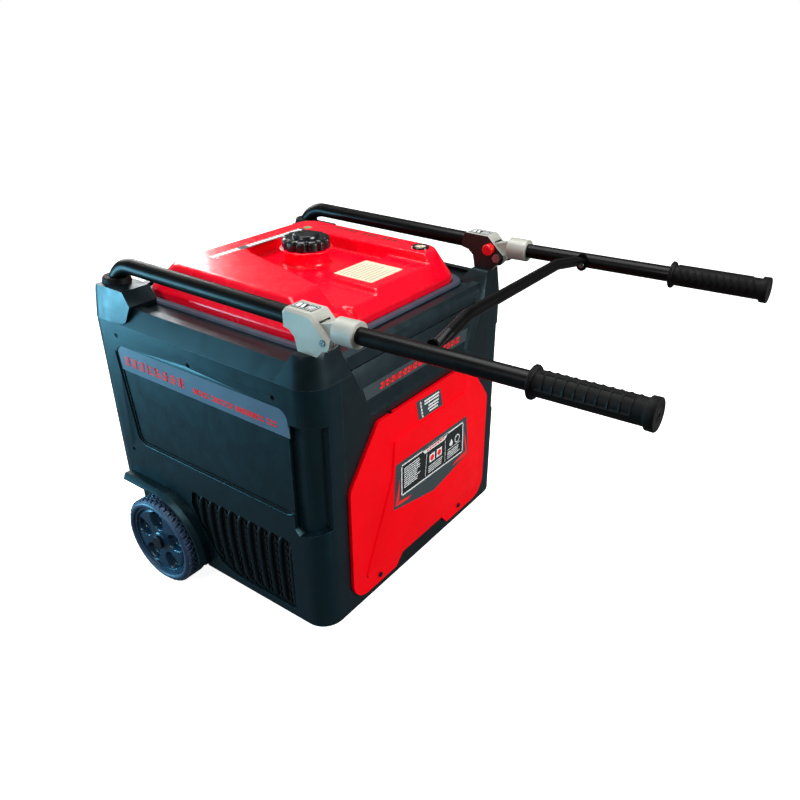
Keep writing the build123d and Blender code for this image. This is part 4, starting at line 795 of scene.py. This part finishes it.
def louvres(side, suffix):
    """Eleven curved blades over a perforated backing."""
    face = HOUSING_FACE
    to_side = lambda u, v, h: (side * h, u, v)
    bm = bmesh.new()
    for i in range(BLADES):
        share = 1 - i / (BLADES - 1)
        base = 38 + BLADE_PITCH * i
        rows = []
        for k in range(BLADE_STEPS + 1):
            z = 225 - 150 * k / BLADE_STEPS
            y = base + blade_shift(z, share)
            ends = (y, min(z, 224.5)), (y - 3, max(z - 2, 77.5))
            if all(inside(end, LOUVRE_OUTLINE) for end in ends):
                rows.append((y, z))
        if len(rows) < 3:
            continue
        loops = []
        for k, (y, z) in enumerate(rows):
            rise = min(1.0, 0.35 + 0.3 * k, 0.35 + 0.35 * (len(rows) - 1 - k))
            top = face - 5 + 5.9 * rise
            section = [(-4.2, face - 7), (-3.6, top - 2.2), (-2.3, top - 0.6), (-0.4, top), (1.6, top - 0.3),
                       (2.6, top - 1.6), (3.2, face - 7)]
            loops.append([to_side(y + u, z, h) for u, h in section])
        add_loft(bm, loops)
    finish_piece(new_piece("louvre_blades_" + suffix, bm, 42), "generator", "black_plastic")
    # backing: a grid whose cells are pressed in to make two columns of holes between blades
    bm = bmesh.new()
    cells_y, cells_z = 66, 20
    y_of = lambda i: 32 + i * (BLADE_PITCH / CELLS_IN_PITCH)
    z_of = lambda k: 74 + k * 7.8
    depth_out, depth_in = face - 6.0, face - 9.2
    grid = [[bm.verts.new(to_side(y_of(i), z_of(k), depth_out)) for i in range(cells_y + 1)]
            for k in range(cells_z + 1)]
    faces = {}
    for k in range(cells_z):
        for i in range(cells_y):
            faces[i, k] = bm.faces.new((grid[k][i], grid[k][i + 1], grid[k + 1][i + 1], grid[k + 1][i]))
    holes = [cell for (i, k), cell in faces.items()
             if i % CELLS_IN_PITCH in (3, 5) and (k + (i % CELLS_IN_PITCH == 5)) % 2 == 0]
    bmesh.ops.inset_individual(bm, faces=holes, thickness=0.5, depth=0)
    bmesh.ops.inset_individual(bm, faces=holes, thickness=0.35, depth=-2.4)
    extruded = bmesh.ops.extrude_edge_only(bm, edges=[e for e in bm.edges if e.is_boundary])
    for part in extruded["geom"]:
        if isinstance(part, bmesh.types.BMVert):
            part.co.x = side * depth_in
    bmesh.ops.contextual_create(bm, geom=[e for e in bm.edges if e.is_boundary])
    piece = new_piece("louvre_screen_" + suffix, bm, 30)
    finish_piece(piece, "generator", "black_plastic", material=M["screen_plastic"], replaces=["louvres"])


# ---------------- grips


TUBE_AXIS = 12.49  # height of the axis above the lowest point of the sloping tube's box
GRIP_RADIUS = 16.5


def grip(node):
    """Rubber grip: ladder ribs on its outer side, arrow ribs on its inner side, a flange and an end cap."""
    side = -1 if node.endswith("left") else 1
    tube_low, tube_high = box_size("handle_tube_" + ("left" if side < 0 else "right"))
    low, high = box_size(node)
    centre_x = (tube_low.x + tube_high.x) / 2
    start = Vector((centre_x, tube_high.y, tube_low.z + TUBE_AXIS))
    end = Vector((centre_x, tube_low.y, tube_high.z - TUBE_AXIS))
    along = (end - start).normalized()
    over = Vector((1, 0, 0)).cross(along).normalized()
    if over.z < 0:
        over = -over
    reach = [(p - start.y) / along.y for p in (high.y, low.y)]
    first, last = reach[0] + 0.8, reach[1] - 0.9
    length = last - first

    def bump(s, angle):
        """Height of the ribs at a distance s from the flange; angle is 0 outside and 90 degrees on top."""
        if not 10 < s < length - 15:
            return 0.0
        turn = (angle - math.radians(35) + math.pi) % (2 * math.pi) - math.pi
        raised = 0.0
        if abs(turn) < 0.72 and s < length - 26:
            rung = abs((s - 12) % 13.2 - 6.6)
            raised = max(raised, 1.0 - rung / 1.1 if rung < 1.1 else 0)
            rail = abs(abs(turn) - 0.66) * 16.5
            raised = max(raised, 1.0 - rail if rail < 1.0 else 0)
        back = (angle - math.radians(165) + math.pi) % (2 * math.pi) - math.pi
        if abs(back) < 0.75:
            phase = (s + abs(back) * 9) % 11
            near = min(phase, 11 - phase)
            raised = max(raised, 1.0 - near / 1.6 if near < 1.6 else 0)
        return 1.1 * min(1, raised * 1.8)

    turns = 96
    stations = [  # distance from the flange, radius
        (0, 17.0), (0.0, 20.6), (0.7, 21.4), (3.2, 21.4), (4.2, 20.8), (5.0, 18.2), (6.2, 17.0), (8, 16.6),
    ]
    stations += [(9 + 1.1 * i, GRIP_RADIUS) for i in range(int((length - 9 - 14) / 1.1))]
    end_cap = [  # distance short of the end, radius
        (13, 16.6), (12, 17.2), (11, 19.2), (10, 19.8), (1.2, 19.9), (0.2, 19.2), (0, 18.4), (0, 12.2),
        (0.5, 11.6), (0.5, 6.2), (0, 5.6), (0, 3.0), (1, 2.6), (7, 2.4), (7, 0),
    ]
    stations += [(length - short, radius) for short, radius in end_cap]
    bm = bmesh.new()

    def ring(s, radius):
        made = []
        for i in range(turns if radius else 1):
            a = 2 * math.pi * i / turns
            r = radius + (bump(s, a) if radius == GRIP_RADIUS else 0)
            p = start + along * (first + s)
            p = p + Vector((side, 0, 0)) * r * math.cos(a) + over * r * math.sin(a)
            made.append(bm.verts.new(p))
        return made

    bore = [(length - 9, 0), (length - 9, 12.7), (0, 12.7)]
    rings = [ring(s, r) for s, r in bore + stations]
    add_skin(bm, zip(rings, rings[1:]), turns)
    finish_piece(new_piece(node + "_rubber", bm, 40), BODY_OF[node], SLOT_OF[node], replaces=[node])


# ---------------- printed marks

THIN = 0.35  # thickness of one film


def film(name, shapes, place, slot, material, lift=0.0, thick=THIN, body="generator"):
    """Thin printed shapes lying on a surface; place maps (u, v, height above it)."""
    bm = bmesh.new()
    for shape in shapes:
        add_prism(bm, shape, lift - 0.15, lift + thick, place)
    finish_piece(new_piece(name, bm, 30), body, slot, M[material])


def bar(u, v, width, height, slant=0.0):
    """A small slanted bar with its lower left corner at (u, v)."""
    return [(u, v), (u + width, v), (u + width + slant, v + height), (u + slant, v + height)]


def ring_shape(u, v, radius, count=20):
    """A circle's points."""
    return [(u + x, v + y) for x, y in (spot(radius, i, count) for i in range(count))]


def frame_bars(corners, width):
    """Four bars along the edges of a quadrilateral."""
    shapes = []
    for (x0, y0), (x1, y1) in zip(corners, corners[1:] + corners[:1]):
        d = Vector((x1 - x0, y1 - y0)).normalized()
        n = Vector((-d.y, d.x)) * width / 2
        e = d * width / 2
        shapes.append([(x0 - e.x + n.x, y0 - e.y + n.y), (x0 - e.x - n.x, y0 - e.y - n.y),
                       (x1 + e.x - n.x, y1 + e.y - n.y), (x1 + e.x + n.x, y1 + e.y + n.y)])
    return shapes


def block_marks(u, v, width, height, rng):
    """An abstract block of stacked bars."""
    shapes = []
    rows = rng.choice((3, 3, 4))
    pitch = height / rows
    for row in range(rows):
        indent = rng.choice((0, 0, 0.18)) * width
        shapes.append(bar(u + indent, v + row * pitch, width - indent * rng.choice((1, 2)), pitch * 0.62))
    if rng.random() < 0.7:
        shapes.append(bar(u + width * rng.choice((0.15, 0.42, 0.7)), v, width * 0.16, height))
    return shapes


def side_marks(side, suffix):
    """Red marks on the pale band of each side."""
    rng = random.Random(7)
    face = box_size("side_bands")[1].x
    place = lambda u, v, h: (side * (face + h), u, v)
    shapes = []
    for i in range(8):
        shapes += block_marks(398.5 - 20.2 * i, 439, 15.5, 18, rng)
    film("side_blocks_" + suffix, shapes, place, "band_plastic", "print_red")
    shapes = []
    y = 236.0
    for count in (6, 8, 9, 3):
        for i in range(count):
            wide = rng.choice((5.2, 6.0, 4.4))
            if rng.random() < 0.5:
                shapes.append(bar(y - wide, 437.5, wide, 9.5))
            else:
                shapes.append(bar(y - wide, 437.5, wide, 3.2))
                shapes.append(bar(y - wide, 443.8, wide, 3.2))
            y -= wide + 1.4
        y -= 5.0
    film("side_dashes_" + suffix, shapes, place, "band_plastic", "print_red")


def swept_bead(name, path, section, place, material):
    """A bead of constant section on a flat path; section is (distance to the left of the path, height)."""
    loops = []
    last = len(path) - 1
    for i, (u, v) in enumerate(path):
        along = (Vector(path[min(last, i + 1)]) - Vector(path[max(0, i - 1)])).normalized()
        loops.append([place(u - along.y * a, v + along.x * a, h) for a, h in section])
    bm = bmesh.new()
    add_loft(bm, loops)
    finish_piece(new_piece(name, bm, 60), "generator", "black_plastic", M[material])


def arc(cx, cy, radius, start, end, steps=8):
    """Points of an arc between two angles in degrees."""
    turn = [math.radians(start + (end - start) * i / steps) for i in range(steps + 1)]
    return [(cx + radius * math.cos(a), cy + radius * math.sin(a)) for a in turn]


def recess_border(side, suffix):
    """A near-black strip painted as the shadow in the gap round the side panel's rear and lower edges, with a
    rounded lip outside it.
    """
    place = lambda u, v, h: (side * (HOUSING_FACE + h), u, v)
    route = [(433.5, 461), (424, 382)] + arc(394.2, 301, 20, -6.8, -90)
    route += [(220, 281)] + arc(42, 301, 20, -90, -145)
    lip = [(0.1, -2.0), (0.1, 0.3), (0.9, 1.1), (2.1, 1.4), (3.3, 1.1), (4.3, 0.3), (4.8, -0.6), (4.8, -2.0)]
    gap = [(-3.8, -3.2), (-3.8, -1.35), (-0.05, -1.35), (-0.05, -3.2)]
    swept_bead("recess_lip_" + suffix, route, lip, place, "side_plastic")
    swept_bead("recess_gap_shadow_" + suffix, route, gap, place, "screen_plastic")


def seam_line(side, suffix):
    """The shadow gap between the side shell and the top cover, round the front corner."""
    low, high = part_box("housing_left")
    seam = high[2] / MM
    inner = HOUSING_FACE - HOUSING_CORNER
    front = low[1] / MM + HOUSING_CORNER
    route = [(-HOUSING_FACE, 400, -1, 0), (-HOUSING_FACE, front, -1, 0)]
    for k in range(1, 9):
        a = math.radians(180 + 90 * k / 8)
        nx, ny = math.cos(a), math.sin(a)
        route.append((-inner + HOUSING_CORNER * nx, front + HOUSING_CORNER * ny, nx, ny))
    route.append((-196, front - HOUSING_CORNER, 0, -1))
    section = [(-0.8, -2.2), (-0.8, -0.45), (0.8, -0.45), (0.8, -2.2)]
    bm = bmesh.new()
    add_loft(bm, [[(-side * (x + nx * h), y + ny * h, seam + v) for v, h in section]
                  for x, y, nx, ny in route])
    finish_piece(new_piece("seam_gap_shadow_" + suffix, bm, 60), "generator", "black_plastic", M["screen_plastic"])


def front_marks():
    """Red marks and their grey stripe on the sloping front scoop."""
    slope = 4 / 160
    normal = Vector((0, -1, slope)).normalized()
    at = lambda u, v, h: tuple(Vector((u, -23 + (v - 400) * slope, v)) + normal * h)
    stripe = [(-146, 449), (146, 449), (154, 473), (-154, 473)]
    film("front_stripe", [stripe], at, "black_plastic", "print_dark")
    rng = random.Random(11)
    shapes = []
    for i in range(16):
        x = -111 + 14.8 * i
        wide = 11.6
        shapes.append(bar(x, 454.5, wide, 4.2, 0.8))
        shapes.append(bar(x + 1.2, 461.0, wide, 4.4, 0.8))
        shapes.append(bar(x + rng.choice((0.6, 7.5)), 454.5, 4.2, 10.9, 1.6))
    film("front_blocks", shapes, at, "black_plastic", "print_red", lift=THIN)


RAISED = 2.5  # height of the door's raised field


def door_films():
    """Two plain notice films on the door, with bars where a real one has words."""
    face = box_size("service_door")[0].y
    at = lambda u, v, h: (u, face - h, v)
    at_flat = lambda u, v, h: (u, face + RAISED - h, v)
    rng = random.Random(3)
    back = [(-95, 307), (-102, 217), (23, 190), (144, 212), (131, 302)]
    accents = [
        [(-84, 276), (-87, 232), (-98, 222), (-97, 226)], [(-98, 222), (-87, 228), (-50, 221), (-60, 218)],
        [(123, 277), (140, 216), (132, 222)], [(140, 216), (134, 212), (86, 212), (96, 217), (130, 222)],
    ]
    panel = [(-79, 298), (-79, 236), (120, 228), (118, 294)]
    white = frame_bars(panel, 2.6)
    white.append([(-18, 298), (-9, 287.5), (56, 286), (68, 297)])
    white.append([(-3.6, 284), (-7.6, 238), (-6.4, 238), (-2.4, 284)])
    white.append([(57, 282), (57.6, 236), (58.8, 236), (58.2, 282)])
    for row in range(10):
        white.append(bar(-72, 287.5 - 4.4 * row, rng.uniform(42, 55) - 0.6 * row, 1.7))
    for row in range(4):
        white.append(bar(3, 252 - 4.2 * row, rng.uniform(36, 46), 1.5))
        white.append(bar(66, 250 - 4.2 * row, rng.uniform(34, 44), 1.5))
    white += [bar(6, 260, 17, 17), bar(29, 259.5, 17, 17), bar(66, 256, 44, 1.2)]
    white.append([(74, 262), (82, 262), (84, 267), (78, 276), (72, 267)])
    spots = [ring_shape(14.5, 268.5, 6), ring_shape(37.5, 268, 6)]
    spots += [bar(-3 + 8.4 * i, 289.6, 5.6, 3.4) for i in range(7)]
    tag = [(-33, 402), (-24, 362), (50, 361), (41, 398)]
    rows = [(-9, 391.5, 46), (-8, 385.8, 44), (4, 378.4, 32), (2, 372.6, 33)]
    bars = [bar(u, v, width, 3.4, -0.6) for u, v, width in rows]
    bars += [bar(7, 366.4, 27, 3.2, -0.6), bar(-15, 364, 0.9, 34, -7.6)]
    bars += [bar(-22 + 1.6 * k, 392 - 7 * k, 4.4, 4.4, -0.8) for k in range(5)]
    layers = [  # name, shapes, place, look and how many films lie under it
        ("notice_back", [back], at, "print_dark", 0),
        ("notice_accents", accents, at, "print_red", 1),
        ("notice_panel", [panel], at, "print_black", 1),
        ("notice_white", white, at, "print_white", 2),
        ("notice_spots", spots, at, "print_red", 3),
        ("notice_disc", [ring_shape(99, 268, 8.5)], at, "print_white", 2),
        ("notice_disc_core", [ring_shape(99, 268, 6.4)], at, "print_black", 3),
        ("tag_back", [tag], at_flat, "print_dark", 0),
        ("tag_white", bars, at_flat, "print_white", 1),
    ]
    for name, shapes, place, look, under in layers:
        film(name, shapes, place, SLOT_OF["service_door"], look, lift=THIN * under, body="door")


def tank_films():
    """Marks on the tank's rear and right rims and the pale label on its pad."""
    bottom = box_size("fuel_tank")[0].z
    top, pad = bottom + TANK_TOP, bottom + TANK_PAD
    at = lambda u, v, h: (u, v, top + h)
    rng = random.Random(5)
    white = [bar(-112 + 9.6 * i, 346.5, 7.2, 11.5, 0.6) for i in range(24) if i not in (7, 8)]
    white.append([(-112, 339), (-104, 339), (-108, 343)])
    backing = [(-115, 344.5), (124, 344.5), (126, 360), (-113, 360)]
    film("rear_backing", [backing], at, "red_paint", "print_dark", thick=0.2)
    film("rear_blocks", white, at, "red_paint", "print_white", lift=0.15)
    film("rear_spot", [ring_shape(136, 351, 8)], at, "red_paint", "print_green")
    dark = [bar(164 - 0.2 * i, 300 - 12.2 * i, 12, 7.5) for i in range(13) if i not in (5, 9)]
    film("rim_blocks", dark, at, "red_paint", "print_faded")
    at_pad = lambda u, v, h: (u, v, pad + h)
    label = rounded_rectangle(35, 115, 90, 84, 3, 4)
    film("pad_label", [label], at_pad, "red_paint", "print_beige", thick=0.6)
    lines = [bar(-4, 148 - 8.2 * row, rng.uniform(58, 76), 0.9) for row in range(9)]
    film("pad_lines", lines, at_pad, "red_paint", "print_dark", lift=0.6, thick=0.12)


BRACKET_CENTRE = 236  # distance of each hinge bracket's film from the middle plane


def bracket_films():
    """A dark film with plain pale shapes on each bracket's top."""
    for side, suffix in ((-1, "left"), (1, "right")):
        top = box_size("hinge_bracket_" + suffix)[1].z
        centre = side * BRACKET_CENTRE
        at = lambda u, v, h: (centre + u, v, top + h)
        backing = rounded_rectangle(0, 9, 21, 40, 2, 4)
        film("bracket_film_" + suffix, [backing], at, "cast_alloy", "print_black")
        rule = frame_bars([(-8.6, -9), (8.6, -9), (8.6, 27), (-8.6, 27)], 0.8)
        film("bracket_rule_" + suffix, rule, at, "cast_alloy", "print_white", lift=THIN)
        shapes = [[(-6, 24), (-6, 17), (6, 20), (6, 25)], [(-6, 14), (-6, 9), (6, 13), (6, 17)]]
        shapes += [bar(-6, -6 + 3.2 * k, 11, 1.4) for k in range(4)]
        film("bracket_shapes_" + suffix, shapes, at, "cast_alloy", "print_white", lift=THIN)


def gauge_dial():
    """The gauge's face: a pale disc with a pointer, set in the CAD bezel."""
    low, high = box_size("fuel_gauge")
    cx, cy = (low.x + high.x) / 2, (low.y + high.y) / 2
    at = lambda u, v, h: (cx + u, cy + v, high.z - 2 + h)
    film("gauge_face", [ring_shape(0, 0, 10.6, 40)], at, "black_gloss", "print_beige")
    ticks = []
    for k in range(6):
        a = math.radians(25 + 26 * k)
        ends = [(r * math.cos(a), r * math.sin(a)) for r in (7.2, 9.4)]
        ticks.append(frame_bars(ends, 0.6)[0])
    film("gauge_ticks", ticks, at, "black_gloss", "print_black", lift=THIN)
    needle = [(-1, -3), (1, -3), (5.2, 6.4), (4.6, 6.8)]
    film("gauge_needle", [needle], at, "black_gloss", "print_red", lift=THIN)


SOFT_EDGES = {  # millimetres of softened edge
    "housing_left": 1.5, "housing_right": 1.5, "front_frame": 1.5, "rear_panel": 1.5, "top_cover": 1.5,
    "service_door": 1.5, "hinge_bracket_left": 3.2, "hinge_bracket_right": 3.2, "hinge_socket_left": 1.2,
    "hinge_socket_right": 1.2, "control_panel": 0.8, "axle_spacers": 0.8,
}
LOOK_OF = {  # nodes whose look isn't their slot's
    # the side shells take the copy of the black plastic with painted cyan light
    "housing_left": "side_plastic", "housing_right": "side_plastic", "panel_screws": "black_steel",
    "hinge_bracket_left": "bracket_left", "hinge_bracket_right": "bracket_right",
}
for node, width in SOFT_EDGES.items():
    rounded(node, width, M[LOOK_OF.get(node, SLOT_OF[node])])
fuel_tank()
fuel_cap()
for side, suffix in ((-1, "left"), (1, "right")):
    wheel(side, suffix)
    louvres(side, suffix)
    side_marks(side, suffix)
    recess_border(side, suffix)
    seam_line(side, suffix)
    grip("grip_" + suffix)
front_marks()
door_films()
tank_films()
bracket_films()
gauge_dial()
for node, thing in NODES.items():
    if thing.hide_render:
        continue
    thing.data.materials.clear()
    thing.data.materials.append(M[LOOK_OF.get(node, SLOT_OF[node])])
